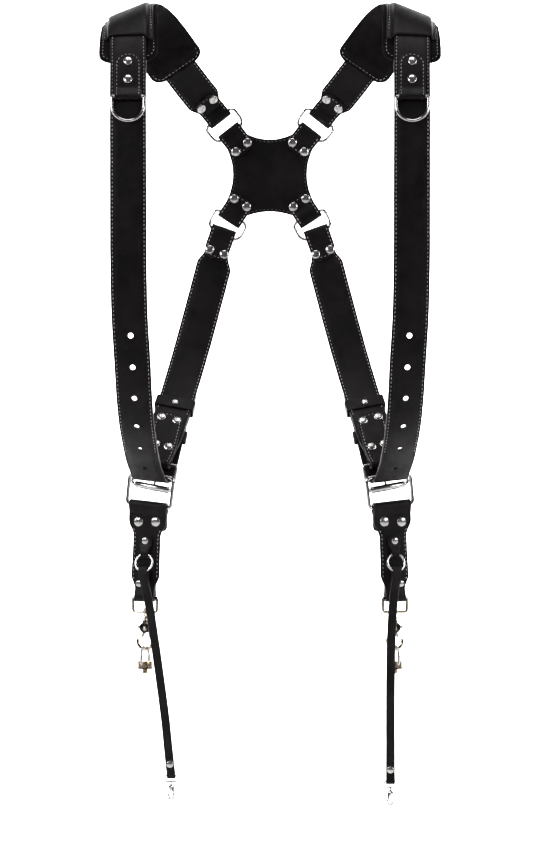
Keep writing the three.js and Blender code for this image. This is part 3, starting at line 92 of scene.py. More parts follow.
@dataclass(frozen=True)
class Pose:
    """A place in space: an origin and three axes, as the columns of a 4 by 4 matrix."""

    matrix: np.ndarray

    @staticmethod
    def along_bar(origin: np.ndarray, x: np.ndarray, up: np.ndarray = UP) -> "Pose":
        """Make a pose whose X runs along a bar and whose Z is as near as can be to up.

        Args:
            origin: The bar's middle.
            x: The bar's direction.
            up: The wanted upward direction.

        Returns:
            The pose.
        """
        x = unit(x)
        y = unit(np.cross(up, x))
        return Pose.of(origin, x, y, unit(np.cross(x, y)))

    @staticmethod
    def of(origin: np.ndarray, x: np.ndarray, y: np.ndarray, z: np.ndarray) -> "Pose":
        """Make a pose from its origin and its axes.

        Args:
            origin: The origin.
            x: The first axis.
            y: The second axis.
            z: The third axis.

        Returns:
            The pose.
        """
        m = np.eye(4)
        m[:3, 0], m[:3, 1], m[:3, 2], m[:3, 3] = x, y, z, origin
        return Pose(m)

    def moved(self, x: float, y: float, z: float) -> "Pose":
        """Move along the pose's own axes.

        Args:
            x: How far along X.
            y: How far along Y.
            z: How far along Z.

        Returns:
            The moved pose.
        """
        m = self.matrix.copy()
        m[:3, 3] = self.point(x, y, z)
        return Pose(m)

    def turned(self, axis: str, degrees: float) -> "Pose":
        """Turn about one of the pose's own axes.

        Args:
            axis: "X", "Y" or "Z".
            degrees: The angle, by the right-hand rule.

        Returns:
            The turned pose.
        """
        return Pose(self.matrix @ np.array(Matrix.Rotation(math.radians(degrees), 4, axis)))

    def point(self, x: float, y: float, z: float) -> np.ndarray:
        """Give a point of the pose's own coordinates in space."""
        return (self.matrix @ np.array([x, y, z, 1.0]))[:3]

    def axis(self, column: int) -> np.ndarray:
        """Give one of the pose's axes: 0 for X, 1 for Y, 2 for Z."""
        return self.matrix[:3, column].copy()

    @property
    def origin(self) -> np.ndarray:
        """The pose's origin."""
        return self.matrix[:3, 3].copy()


# Meshes


@dataclass
class Shape:
    """Mesh data: corners, faces and what the materials read at each corner."""

    verts: np.ndarray
    faces: list[tuple[int, ...]]
    rim: np.ndarray | None = None

    def placed(self, pose: Pose) -> "Shape":
        """Move the shape from its own coordinates to a pose."""
        verts = self.verts @ pose.matrix[:3, :3].T + pose.origin
        return Shape(verts, self.faces, self.rim)

    def moved(self, x: float, y: float, z: float) -> "Shape":
        """Move the shape."""
        return Shape(self.verts + vec(x, y, z), self.faces, self.rim)

    def swapped(self, order: Sequence[int], flipped: int) -> "Shape":
        """Swap the shape's axes, and flip one so that it isn't turned inside out."""
        sign = np.where(np.arange(3) == flipped, -1.0, 1.0)
        return Shape(self.verts[:, order] * sign, self.faces, self.rim)

    @staticmethod
    def joined(shapes: Sequence["Shape"]) -> "Shape":
        """Put several shapes in one, each still closed by itself.

        Args:
            shapes: The shapes.

        Returns:
            One shape with all their corners, in order.
        """
        verts, faces, rims, start = [], [], [], 0
        for shape in shapes:
            count = len(shape.verts)
            verts.append(shape.verts)
            faces += [tuple(i + start for i in face) for face in shape.faces]
            rims.append(np.zeros(count) if shape.rim is None else shape.rim)
            start += count
        return Shape(np.concatenate(verts), faces, np.concatenate(rims))


def grid_faces(rows: int, cols: int, wrap_rows: bool, wrap_cols: bool) -> list[tuple[int, ...]]:
    """List the quads of a grid of corners numbered row by row.

    Args:
        rows: Number of rows.
        cols: Corners in a row.
        wrap_rows: Whether the last row joins the first.
        wrap_cols: Whether each row is closed.

    Returns:
        The quads.
    """
    r = np.arange(rows if wrap_rows else rows - 1)
    c = np.arange(cols if wrap_cols else cols - 1)
    a, b = np.meshgrid(r, c, indexing="ij")
    a2, b2 = (a + 1) % rows, (b + 1) % cols
    quads = np.stack(
        [a * cols + b, a * cols + b2, a2 * cols + b2, a2 * cols + b], axis=-1
    ).reshape(-1, 4)
    return [tuple(q) for q in quads.tolist()]


def tube_faces(rows: int, cols: int, closed: bool) -> list[tuple[int, ...]]:
    """List the faces of a tube, with one face on each end where it is open.

    Args:
        rows: Number of rings of corners.
        cols: Corners in a ring.
        closed: Whether the last ring joins the first.

    Returns:
        The faces.
    """
    faces = grid_faces(rows, cols, closed, True)
    if not closed:
        last = (rows - 1) * cols
        faces.append(tuple(range(cols - 1, -1, -1)))
        faces.append(tuple(range(last, last + cols)))
    return faces


def flat_faces(rows: int, cols: int) -> list[tuple[int, ...]]:
    """List the faces of a flat section carried along a line, its ends closed by rows of quads.

    Args:
        rows: Number of sections.
        cols: Corners in a section: along one face, then back along the other.

    Returns:
        The faces.
    """
    faces = grid_faces(rows, cols, False, True)
    last = (rows - 1) * cols
    for j in range(cols // 2 - 1):
        faces.append((last + j, last + j + 1, last + cols - 2 - j, last + cols - 1 - j))
        faces.append((cols - 1 - j, cols - 2 - j, j + 1, j))
    return faces


def read_at(t: np.ndarray, s: np.ndarray, values: np.ndarray) -> np.ndarray:
    """Read rows of three values, known at the distances s, at the distances t."""
    return np.stack([np.interp(t, s, values[:, k]) for k in range(3)], -1)


def stamped(shape: Shape, middles: np.ndarray, axes: np.ndarray) -> Shape:
    """Repeat a shape at places.

    Args:
        shape: The shape, in its own coordinates.
        middles: The places.
        axes: Three axes for each place.

    Returns:
        All the copies in one shape.
    """
    verts = middles[:, None] + np.einsum("vk,skc->svc", shape.verts, axes)
    count = len(shape.verts)
    faces = [tuple(i + k * count for i in f) for k in range(len(middles)) for f in shape.faces]
    return Shape(verts.reshape(-1, 3), faces)


def lathe(profile: Sequence[tuple[float, float]], steps: int = 32) -> Shape:
    """Turn a profile about the Z axis.

    Args:
        profile: Pairs of radius and height, from the foot to the top. A radius of 0 at an end
            closes it, and a profile whose last pair is its first is a ring.
        steps: Sides of the turned shape.

    Returns:
        The turned shape.
    """
    ring = profile[0] == profile[-1]
    pairs = np.array(profile[:-1] if ring else profile, dtype=float)
    angle = np.linspace(0.0, 2.0 * math.pi, steps, endpoint=False)
    radius = np.maximum(pairs[:, 0], 1e-7)[:, None]
    verts = np.stack(
        [radius * np.cos(angle), radius * np.sin(angle), np.repeat(pairs[:, 1:2], steps, 1)], -1
    ).reshape(-1, 3)
    return Shape(verts, tube_faces(len(pairs), steps, ring))


def flipped(foot: Sequence[tuple[float, float]]) -> list[tuple[float, float]]:
    """Mirror a profile's lower half about height 0, so that the profile goes on with it."""
    return [(radius, -height) for radius, height in foot[::-1]]


def wire(
    points: np.ndarray,
    radius: np.ndarray | float,
    plane: np.ndarray,
    closed: bool = True,
    sides: int = 14,
) -> Shape:
    """Make a round wire along points that lie in a plane.

    Args:
        points: The wire's middle line.
        radius: Its radius, one for all or one for each point.
        plane: The plane's normal.
        closed: Whether the last point joins the first.
        sides: Sides of the wire.

    Returns:
        The wire.
    """
    if closed:
        run = unit(np.roll(points, -1, 0) - np.roll(points, 1, 0))
    else:
        run = unit(np.gradient(points, axis=0))
    side = unit(np.cross(plane, run))
    angle = np.linspace(0.0, 2.0 * math.pi, sides, endpoint=False)
    r = np.broadcast_to(np.asarray(radius, dtype=float), len(points))[:, None, None]
    ring = side[:, None] * np.cos(angle)[:, None] + plane * np.sin(angle)[:, None]
    verts = (points[:, None] + r * ring).reshape(-1, 3)
    return Shape(verts, tube_faces(len(points), sides, closed))


def arc(cx: float, cz: float, radius: float, start: float, end: float, steps: int) -> np.ndarray:
    """List points [across, up] on an arc, from one angle to another in degrees."""
    a = np.radians(np.linspace(start, end, steps + 1))
    return np.stack([cx + radius * np.cos(a), cz + radius * np.sin(a)], -1)


def ring_outline(width: float, height: float, top: float, foot: float, steps: int = 10) -> np.ndarray:
    """List the points of a rounded ring whose top bar lies at height 0.

    Args:
        width: Middle to middle of the wire, across.
        height: Middle to middle, down.
        top: Corner radius at the top bar.
        foot: Corner radius at the foot.
        steps: Steps in each corner.

    Returns:
        Points [across, up].
    """
    half = width / 2
    parts = [
        arc(half - top, -top, top, 90, 0, steps),
        arc(half - foot, foot - height, foot, 0, -90, steps),
        arc(foot - half, foot - height, foot, -90, -180, steps),
        arc(top - half, -top, top, 180, 90, steps),
    ]
    points = np.concatenate(parts)
    keep = np.linalg.norm(points - np.roll(points, -1, 0), axis=1) > 2e-5
    return points[keep]


def flat_wire(outline: np.ndarray, radius: np.ndarray | float, closed: bool = True) -> Shape:
    """Make a wire along points [across, up] of the XZ plane."""
    points = np.stack([outline[:, 0], np.zeros(len(outline)), outline[:, 1]], -1)
    return wire(points, radius, vec(0, 1, 0), closed)


def plate(outline: np.ndarray, thickness: float, edge: float, steps: int = 3) -> Shape:
    """Make a flat plate in the XZ plane with rounded edges.

    Args:
        outline: Points [across, up], anticlockwise seen from the front.
        thickness: Its thickness along Y.
        edge: Radius of its edges.
        steps: Steps of the rounding.

    Returns:
        The plate.
    """
    ahead, behind = np.roll(outline, -1, 0), np.roll(outline, 1, 0)
    run = unit(unit(ahead - outline) + unit(outline - behind))
    inward = np.stack([-run[:, 1], run[:, 0]], -1)
    angle = np.radians(np.linspace(90.0, 0.0, steps + 1))
    inset = np.concatenate([edge * (1 - np.cos(angle)), edge * (1 - np.cos(angle[::-1]))])
    depth = thickness / 2 - edge + edge * np.sin(angle)
    depth = np.concatenate([-depth, depth[::-1]])
    rows = outline[None] + inset[:, None, None] * inward[None]
    y = np.broadcast_to(depth[:, None], rows.shape[:2])
    verts = np.stack([rows[..., 0], y, rows[..., 1]], -1).reshape(-1, 3)
    rim = np.broadcast_to((inset < edge * 0.9)[:, None], rows.shape[:2]).reshape(-1)
    return Shape(verts, tube_faces(len(inset), len(outline), False), rim.astype(float))


# Finishes


class Nodes:
    """A short way to write a material's nodes."""

    def __init__(self, name: str) -> None:
        """Start an empty material with its shader and output.

        Args:
            name: The material's name.
        """
        self.material = bpy.data.materials.new(name)
        self.material.use_nodes = True
        self.tree = self.material.node_tree
        self.tree.nodes.clear()
        self.shader = self.tree.nodes.new("ShaderNodeBsdfPrincipled")
        output = self.tree.nodes.new("ShaderNodeOutputMaterial")
        self.tree.links.new(self.shader.outputs[0], output.inputs[0])
        self.place = self.tree.nodes.new("ShaderNodeTexCoord").outputs["Object"]

    def link(self, out: bpy.types.NodeSocket, into: bpy.types.NodeSocket) -> None:
        """Join two sockets."""
        self.tree.links.new(out, into)

    def noise(self, size: float, detail: float = 3.0, rough: float = 0.5) -> bpy.types.NodeSocket:
        """Make a noise whose features are about size across.

        Args:
            size: Feature size in metres.
            detail: Octaves.
            rough: Strength of the finer octaves.

        Returns:
            The noise's value.
        """
        node = self.tree.nodes.new("ShaderNodeTexNoise")
        node.inputs["Scale"].default_value = 1.0 / size
        node.inputs["Detail"].default_value = detail
        node.inputs["Roughness"].default_value = rough
        self.link(self.place, node.inputs["Vector"])
        return node.outputs["Fac"]

    def cells(self, size: float) -> bpy.types.NodeSocket:
        """Make a pattern of cells.

        Args:
            size: How far across a cell is, in metres.

        Returns:
            The distance to the nearest cell's middle.
        """
        node = self.tree.nodes.new("ShaderNodeTexVoronoi")
        node.inputs["Scale"].default_value = 1.0 / size
        self.link(self.place, node.inputs["Vector"])
        return node.outputs["Distance"]

    def spread(
        self, value: bpy.types.NodeSocket, low: float, high: float, start: float = 0.0, end: float = 1.0
    ) -> bpy.types.NodeSocket:
        """Map a value from one range onto another.

        Args:
            value: The value.
            low: The result at start.
            high: The result at end.
            start: Where the value's range starts.
            end: Where it ends.

        Returns:
            The result.
        """
        node = self.tree.nodes.new("ShaderNodeMapRange")
        self.link(value, node.inputs["Value"])
        node.inputs["From Min"].default_value = start
        node.inputs["From Max"].default_value = end
        node.inputs["To Min"].default_value = low
        node.inputs["To Max"].default_value = high
        return node.outputs["Result"]

    def mixed(
        self,
        share: bpy.types.NodeSocket,
        a: tuple[float, float, float] | bpy.types.NodeSocket,
        b: tuple[float, float, float],
    ) -> bpy.types.NodeSocket:
        """Mix two colours.

        Args:
            share: How much of the second colour there is.
            a: The first colour.
            b: The second colour.

        Returns:
            The mixed colour.
        """
        node = self.tree.nodes.new("ShaderNodeMix")
        node.data_type = "RGBA"
        self.link(share, node.inputs["Factor"])
        if isinstance(a, tuple):
            node.inputs[6].default_value = (*a, 1.0)
        else:
            self.link(a, node.inputs[6])
        node.inputs[7].default_value = (*b, 1.0)
        return node.outputs[2]

    def value(self, name: str) -> bpy.types.NodeSocket:
        """Read a mesh attribute.

        Args:
            name: The attribute's name.

        Returns:
            Its value.
        """
        node = self.tree.nodes.new("ShaderNodeAttribute")
        node.attribute_name = name
        return node.outputs["Fac"]

    def bump(
        self, height: bpy.types.NodeSocket, depth: float, strength: float = 1.0,
        below: bpy.types.NodeSocket | None = None,
    ) -> bpy.types.NodeSocket:
        """Raise a surface by a height pattern.

        Args:
            height: The pattern, from 0 to 1.
            depth: Its relief in metres.
            strength: How much of it shows.
            below: The normal of a coarser relief, if there is one.

        Returns:
            The normal.
        """
        node = self.tree.nodes.new("ShaderNodeBump")
        node.inputs["Distance"].default_value = depth
        node.inputs["Strength"].default_value = strength
        self.link(height, node.inputs["Height"])
        if below is not None:
            self.link(below, node.inputs["Normal"])
        return node.outputs["Normal"]

    def set(self, name: str, value: float | tuple[float, ...]) -> None:
        """Set one of the shader's own sockets."""
        self.shader.inputs[name].default_value = value


@dataclass(frozen=True)
class Leather:
    """Dyed bridle leather with a fine grain, a waxed face and burnished edges.

    Attributes:
        name: The material's name.
        deep: Its dye where dark.
        pale: Its dye where worn.
        edge: The colour of a burnished edge.
        grain: Size of a pebble of the grain.
        relief: Depth of the grain.
        smooth: Roughness where rubbed.
        rough: Roughness where dull.
    """

    name: str = "black_bridle_leather"
    deep: tuple[float, float, float] = (0.0022, 0.0015, 0.0017)
    pale: tuple[float, float, float] = (0.0074, 0.0052, 0.0058)
    edge: tuple[float, float, float] = (0.022, 0.018, 0.018)
    grain: float = 0.0009
    relief: float = 0.00010
    smooth: float = 0.36
    rough: float = 0.56

    def build(self) -> bpy.types.Material:
        """Make the material: cloudy dye, pebbled grain, faint creases and pale rims.

        Returns:
            The material.
        """
        n = Nodes(self.name)
        cloud = n.spread(n.noise(0.035, 4.0, 0.6), 0.0, 1.0, 0.32, 0.70)
        grain = n.cells(self.grain)
        fine = n.noise(self.grain * 0.45, 3.0, 0.6)
        dye = n.mixed(cloud, self.deep, self.pale)
        rim = n.spread(n.value("rim"), 0.0, 0.75)
        n.link(n.mixed(rim, dye, self.edge), n.shader.inputs["Base Color"])
        patch = n.noise(0.012, 3.0, 0.65)
        n.link(n.spread(patch, self.smooth, self.rough, 0.3, 0.72), n.shader.inputs["Roughness"])
        crease = n.bump(n.noise(0.006, 5.0, 0.62), self.relief * 2.6, 0.5)
        pebble = n.bump(grain, self.relief, 0.55, crease)
        n.link(n.bump(fine, self.relief * 0.5, 0.5, pebble), n.shader.inputs["Normal"])
        n.set("Specular IOR Level", 0.15)
        return n.material


@dataclass(frozen=True)
class Suede:
    """Napped leather on the pads: matt, with a soft pile that brushes light and dark.

    Attributes:
        name: The material's name.
        deep: The nap's colour brushed one way.
        pale: Its colour brushed the other way.
    """

    name: str = "black_suede"
    deep: tuple[float, float, float] = (0.0018, 0.0014, 0.0015)
    pale: tuple[float, float, float] = (0.0062, 0.0050, 0.0052)

    def build(self) -> bpy.types.Material:
        """Make the material: brushed patches, fine nap and a weak sheen.

        Returns:
            The material.
        """
        n = Nodes(self.name)
        brushed = n.spread(n.noise(0.014, 5.0, 0.7), 0.0, 1.0, 0.3, 0.72)
        n.link(n.mixed(brushed, self.deep, self.pale), n.shader.inputs["Base Color"])
        nap = n.noise(0.0007, 4.0, 0.75)
        soft = n.bump(n.noise(0.005, 4.0, 0.6), 0.0004, 0.45)
        n.link(n.bump(nap, 0.00025, 0.7, soft), n.shader.inputs["Normal"])
        n.set("Roughness", 0.88)
        n.set("Specular IOR Level", 0.07)
        n.set("Sheen Weight", 0.02)
        n.set("Sheen Roughness", 0.55)
        n.set("Sheen Tint", (0.55, 0.5, 0.5, 1.0))
        return n.material


@dataclass(frozen=True)
class Metal:
    """A plated or turned metal.

    Attributes:
        name: The material's name.
        tint: Its colour.
        worn: Its colour where rubbed.
        smooth: Its roughness where polished best.
        rough: Its roughness where worn or brushed.
        relief: Depth of its fine marks.
        mark: Size of its fine marks.
    """

    name: str
    tint: tuple[float, float, float]
    worn: tuple[float, float, float]
    smooth: float
    rough: float
    relief: float
    mark: float

    def build(self) -> bpy.types.Material:
        """Make the material: a tint that varies a little, fine marks and uneven polish.

        Returns:
            The material.
        """
        n = Nodes(self.name)
        cloud = n.spread(n.noise(0.006, 4.0, 0.6), 0.0, 1.0, 0.35, 0.75)
        n.link(n.mixed(cloud, self.tint, self.worn), n.shader.inputs["Base Color"])
        n.link(
            n.spread(n.noise(0.0025, 4.0, 0.7), self.smooth, self.rough, 0.3, 0.75),
            n.shader.inputs["Roughness"],
        )
        n.link(n.bump(n.noise(self.mark, 3.0, 0.6), self.relief, 0.35), n.shader.inputs["Normal"])
        n.set("Metallic", 1.0)
        return n.material


@dataclass(frozen=True)
class Thread:
    """Waxed sewing thread.

    Attributes:
        name: The material's name.
        deep: Its colour where soiled.
        pale: Its colour where clean.
    """

    name: str = "waxed_thread"
    deep: tuple[float, float, float] = (0.17, 0.16, 0.155)
    pale: tuple[float, float, float] = (0.46, 0.44, 0.43)

    def build(self) -> bpy.types.Material:
        """Make the material: soiled here and there, with twisted plies.

        Returns:
            The material.
        """
        n = Nodes(self.name)
        soiled = n.spread(n.noise(0.02, 3.0, 0.6), 0.0, 1.0, 0.3, 0.7)
        n.link(n.mixed(soiled, self.deep, self.pale), n.shader.inputs["Base Color"])
        n.link(n.bump(n.noise(0.0003, 2.0), 0.00008, 0.8), n.shader.inputs["Normal"])
        n.set("Roughness", 0.7)
        n.set("Specular IOR Level", 0.35)
        return n.material


@dataclass(frozen=True)
class Rubber:
    """Moulded black rubber."""

    name: str = "black_rubber"

    def build(self) -> bpy.types.Material:
        """Make the material: a matt face with a little bloom.

        Returns:
            The material.
        """
        n = Nodes(self.name)
        bloom = n.spread(n.noise(0.003, 4.0, 0.6), 0.0, 1.0, 0.35, 0.7)
        n.link(n.mixed(bloom, (0.011, 0.011, 0.012), (0.026, 0.026, 0.027)), n.shader.inputs["Base Color"])
        n.link(n.bump(n.noise(0.0004, 3.0), 0.00006, 0.6), n.shader.inputs["Normal"])
        n.set("Roughness", 0.72)
        return n.material


@dataclass(frozen=True)
class Paper:
    """The studio's pale seamless backdrop."""

    name: str = "studio_paper"

    def build(self) -> bpy.types.Material:
        """Make the material: nearly white and matt, very slightly mottled.

        Returns:
            The material.
        """
        n = Nodes(self.name)
        mottle = n.spread(n.noise(0.4, 2.0), 0.0, 1.0)
        n.link(n.mixed(mottle, (0.93, 0.93, 0.93), (0.95, 0.95, 0.95)), n.shader.inputs["Base Color"])
        n.set("Roughness", 0.95)
        n.set("Specular IOR Level", 0.1)
        return n.material


class Finish(Enum):
    """The harness's finishes, each with the record's slot that it stands for."""

    LEATHER = "leather"
    TETHER_LEATHER = "tether_leather"
    SUEDE = "padding"
    NICKEL = "nickel"
    RIVET = "rivet"
    HOOK_NICKEL = "hook_nickel"
    STEEL = "steel"
    # Nickel coloured near black: painted shade and painted dark reflection for the main hook's cheeks, which
    # are in shadow.
    BLACK_NICKEL = "black_nickel"
    DRUM = "drum"
    THREAD = "thread"
    DARK_THREAD = "dark_thread"
    RUBBER = "rubber"

    @property
    def record_slot(self) -> str:
        """The record's material slot."""
        return {
            "tether_leather": "leather",
            "rivet": "nickel",
            "hook_nickel": "nickel",
            "black_nickel": "nickel",
            "drum": "steel",
            "thread": "leather",
            "dark_thread": "leather",
        }.get(self.value, self.value)


def build_finishes() -> dict[Finish, bpy.types.Material]:
    """Make each finish's material once.

    Returns:
        The materials.
    """
    makers = {
        Finish.LEATHER: Leather(),
        Finish.TETHER_LEATHER: Leather(
            "tether_leather", (0.004, 0.0033, 0.0036), (0.011, 0.0092, 0.0098), grain=0.0007
        ),
        Finish.SUEDE: Suede(),
        Finish.NICKEL: Metal(
            "polished_nickel", (0.62, 0.61, 0.60), (0.48, 0.47, 0.46), 0.10, 0.20, 0.00002, 0.002
        ),
        Finish.RIVET: Metal(
            "rivet_nickel", (0.66, 0.65, 0.64), (0.46, 0.45, 0.44), 0.17, 0.26, 0.00003, 0.0015
        ),
        Finish.HOOK_NICKEL: Metal(
            "warm_nickel", (0.56, 0.50, 0.43), (0.38, 0.32, 0.26), 0.12, 0.26, 0.00003, 0.0015
        ),
        Finish.STEEL: Metal(
            "turned_steel", (0.50, 0.48, 0.46), (0.38, 0.36, 0.34), 0.20, 0.34, 0.00002, 0.0004
        ),
        # Painted shade: a near-black tint that stands in for the shadow and dark reflection on the main
        # hook's cheeks.
        Finish.BLACK_NICKEL: Metal(
            "black_nickel", (0.030, 0.027, 0.025), (0.055, 0.048, 0.043), 0.14, 0.26, 0.00002, 0.0015
        ),
        Finish.DRUM: Metal(
            "warm_turned_steel", (0.52, 0.41, 0.28), (0.36, 0.27, 0.17), 0.18, 0.32, 0.00002, 0.0004
        ),
        Finish.THREAD: Thread(),
        Finish.DARK_THREAD: Thread("dark_thread", (0.03, 0.028, 0.027), (0.11, 0.10, 0.10)),
        Finish.RUBBER: Rubber(),
    }
    return {finish: maker.build() for finish, maker in makers.items()}


@dataclass
class Workshop:
    """Turns shapes into finished pieces on one side of the harness.

    Attributes:
        finishes: The materials.
        side: "left", "right" or "middle".
    """

    finishes: dict[Finish, bpy.types.Material]
    side: str

    @property
    def mirrored(self) -> bool:
        """Whether shapes are mirrored for this side."""
        return self.side == "right"

    def node(self, name: str) -> str:
        """Name a frame node of this side."""
        return name if self.side == "middle" else f"{self.side}_{name}"

    def mesh(self, name: str, shape: Shape) -> bpy.types.Mesh:
        """Make a mesh on this side, its faces pointing outwards.

        Args:
            name: The mesh's name, without its side.
            shape: Its mesh data, in left-hand coordinates.

        Returns:
            The mesh.
        """
        verts = shape.verts * np.array([-1.0 if self.mirrored else 1.0, 1.0, 1.0])
        mesh = bpy.data.meshes.new(self.node(name))
        mesh.from_pydata(verts.tolist(), [], shape.faces)
        bm = bmesh.new()
        bm.from_mesh(mesh)
        bmesh.ops.recalc_face_normals(bm, faces=bm.faces)
        bm.to_mesh(mesh)
        bm.free()
        return mesh

    def piece(
        self,
        name: str,
        shape: Shape,
        finish: Finish,
        stands_for: Sequence[str] = (),
        body: str = BODY,
        sharp: float = 40.0,
    ) -> bpy.types.Object:
        """Make a finished piece from a shape.

        Args:
            name: The piece's name, without its side.
            shape: Its mesh data, in left-hand coordinates.
            finish: Its finish.
            stands_for: The frame nodes it replaces, without their side.
            body: The body it rides on, without its side, or the harness itself.
            sharp: Edges bent more than this many degrees stay sharp.

        Returns:
            The object.
        """
        mesh = self.mesh(name, shape)
        rim = np.zeros(len(shape.verts)) if shape.rim is None else shape.rim
        store = mesh.attributes.new("rim", "FLOAT", "POINT")
        store.data.foreach_set("value", rim.astype(np.float32))
        mesh.polygons.foreach_set("use_smooth", np.ones(len(mesh.polygons), dtype=bool))
        mesh.set_sharp_from_angle(angle=math.radians(sharp))
        mesh.materials.append(self.finishes[finish])
        made = bpy.data.objects.new(self.node(name), mesh)
        bpy.context.scene.collection.objects.link(made)
        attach(made, BODY if body == BODY else self.node(body))
        finish.record_slot
        if stands_for:
            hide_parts(*[self.node(node) for node in stands_for])
        log.info("%s: %d faces", made.name, len(mesh.polygons))
        return made


# Ways and leather bands


def catmull(rows: np.ndarray, per_row: int, even: bool) -> np.ndarray:
    """Run a smooth curve through rows.

    Args:
        rows: The rows to pass through.
        per_row: Samples from a row to the next.
        even: True for the plain curve, False for one paced by the square root of the distance
            between rows, which has no loops.

    Returns:
        The samples, from the first row to the last.
    """
    padded = np.concatenate([[2 * rows[0] - rows[1]], rows, [2 * rows[-1] - rows[-2]]])
    p0, p1, p2, p3 = padded[:-3], padded[1:-2], padded[2:-1], padded[3:]
    if even:
        t1, t2 = (p2 - p0) / 2, (p3 - p1) / 2
    else:
        gaps = np.linalg.norm(np.diff(padded, axis=0), axis=1)[:, None] ** 0.5
        d0, d1, d2 = gaps[:-2], gaps[1:-1], gaps[2:]
        t1 = ((p1 - p0) / d0 - (p2 - p0) / (d0 + d1) + (p2 - p1) / d1) * d1
        t2 = ((p2 - p1) / d1 - (p3 - p1) / (d1 + d2) + (p3 - p2) / d2) * d1
    t = np.linspace(0, 1, per_row, endpoint=False)[None, :, None]
    p1, p2, t1, t2 = (x[:, None] for x in (p1, p2, t1, t2))
    square = -3 * p1 + 3 * p2 - 2 * t1 - t2
    cube = 2 * p1 - 2 * p2 + t1 + t2
    curve = (p1 + t1 * t + square * t**2 + cube * t**3).reshape(-1, rows.shape[1])
    return np.concatenate([curve, rows[-1:]])


@dataclass
class Way:
    """A smooth way for a band of leather, measured along its length.

    Attributes:
        rows: The points it passes through.
        widths: The direction across the band at each of them.
        per_row: Samples from a row to the next.
    """

    rows: np.ndarray
    widths: np.ndarray
    per_row: int = 24

    def __post_init__(self) -> None:
        """Sample the way densely."""
        self.p = catmull(self.rows, self.per_row, False)
        self.w = unit(catmull(self.widths, self.per_row, True))
        steps = np.linalg.norm(np.diff(self.p, axis=0), axis=1)
        self.s = np.concatenate([[0.0], np.cumsum(steps)])
        self.run = unit(np.gradient(self.p, axis=0))
        self.out = unit(np.cross(self.run, self.w))

    @property
    def length(self) -> float:
        """The way's length."""
        return float(self.s[-1])

    def row_at(self, index: int) -> float:
        """Give the distance of one of the rows."""
        return float(self.s[index * self.per_row])

    def sample(self, s: np.ndarray | float) -> tuple[np.ndarray, np.ndarray, np.ndarray, np.ndarray]:
        """Give points, width directions, outward directions and runs at distances.

        Args:
            s: Distances along the way.

        Returns:
            Four arrays with a row for each distance.
        """
        s = np.atleast_1d(np.asarray(s, dtype=float))
        w, out, run = (unit(read_at(s, self.s, a)) for a in (self.w, self.out, self.run))
        past = (s - np.clip(s, 0.0, self.length))[:, None]
        return read_at(s, self.s, self.p) + past * run, w, out, run

    def rail(
        self, s: np.ndarray, u: np.ndarray | float, lift: np.ndarray | float
    ) -> tuple[np.ndarray, np.ndarray]:
        """Give points on a layer along the way, and their outward directions.

        Args:
            s: Distances along the way.
            u: Distances across it.
            lift: Distances outward from its middle.

        Returns:
            The points and the outward directions.
        """
        p, w, out, _ = self.sample(s)
        u = np.broadcast_to(np.asarray(u, dtype=float), (len(p),))[:, None]
        lift = np.broadcast_to(np.asarray(lift, dtype=float), (len(p),))[:, None]
        return p + w * u + out * lift, out


@dataclass(frozen=True)
class Edge:
    """The section of a leather band's edge and its sewn channel.

    Attributes:
        round: Share of the thickness that the edge's rounding takes.
        channel: Distance of the sewn channel from the edge.
        channel_half: Half the channel's width.
        dip: The channel's depth.
    """

    round: float = 0.36
    channel: float = 2.6 * MM
    channel_half: float = 0.9 * MM
    dip: float = 0.28 * MM


def band_section(thickness: float, edge: Edge) -> tuple[np.ndarray, np.ndarray, np.ndarray, np.ndarray]:
    """Describe a band's section, anticlockwise from the foot of its left edge.

    Args:
        thickness: The band's thickness.
        edge: Its edge.

    Returns:
        For each point its share of the half width, its inset from the edge, its height and
        whether it is on the rim.
    """
    r, t = edge.round * thickness, thickness / 2
    c, h = edge.channel, edge.channel_half
    face = [(1, c - h, 0.0), (1, c, edge.dip), (1, c + h, 0.0), (0.5, 0.0, 0.0), (0.0, 0.0, 0.0)]
    right = [(1, r, 0.0, 0.0)] + [
        (1, r * (1 - math.cos(a)), r * (1 - math.sin(a)), 1.0) for a in (math.pi / 4, 0.0)
    ]
    half = [(k, i, dip, 0.0) for k, i, dip in face[::-1]] + right
    under = [(k, i, drop - t, e) for k, i, drop, e in half]
    over = [(k, i, t - drop, e) for k, i, drop, e in half]
    points = [(-k, i, v, e) for k, i, v, e in under[:0:-1]] + under
    points += over[::-1] + [(-k, i, v, e) for k, i, v, e in over[1:]]
    share, inset, height, rim = np.array(points).T
    return share, inset, height, rim


def band(p: np.ndarray, w: np.ndarray, half: np.ndarray, thickness: float, edge: Edge = Edge()) -> Shape:
    """Make a leather band with rounded edges and sewn channels.

    Args:
        p: The band's middle line.
        w: The direction across it, at each point.
        half: Its half width, at each point.
        thickness: Its thickness.
        edge: The section of its edges.

    Returns:
        The band, closed at its ends.
    """
    out = unit(np.cross(unit(np.gradient(p, axis=0)), w))
    share, inset, height, rim = band_section(thickness, edge)
    u = np.sign(share) * np.maximum(
        half[:, None] * np.abs(share) - inset, half[:, None] * 0.12 * np.abs(share)
    )
    verts = p[:, None] + u[..., None] * w[:, None] + height[None, :, None] * out[:, None]
    return Shape(verts.reshape(-1, 3), flat_faces(len(p), len(share)), np.tile(rim, len(p)))


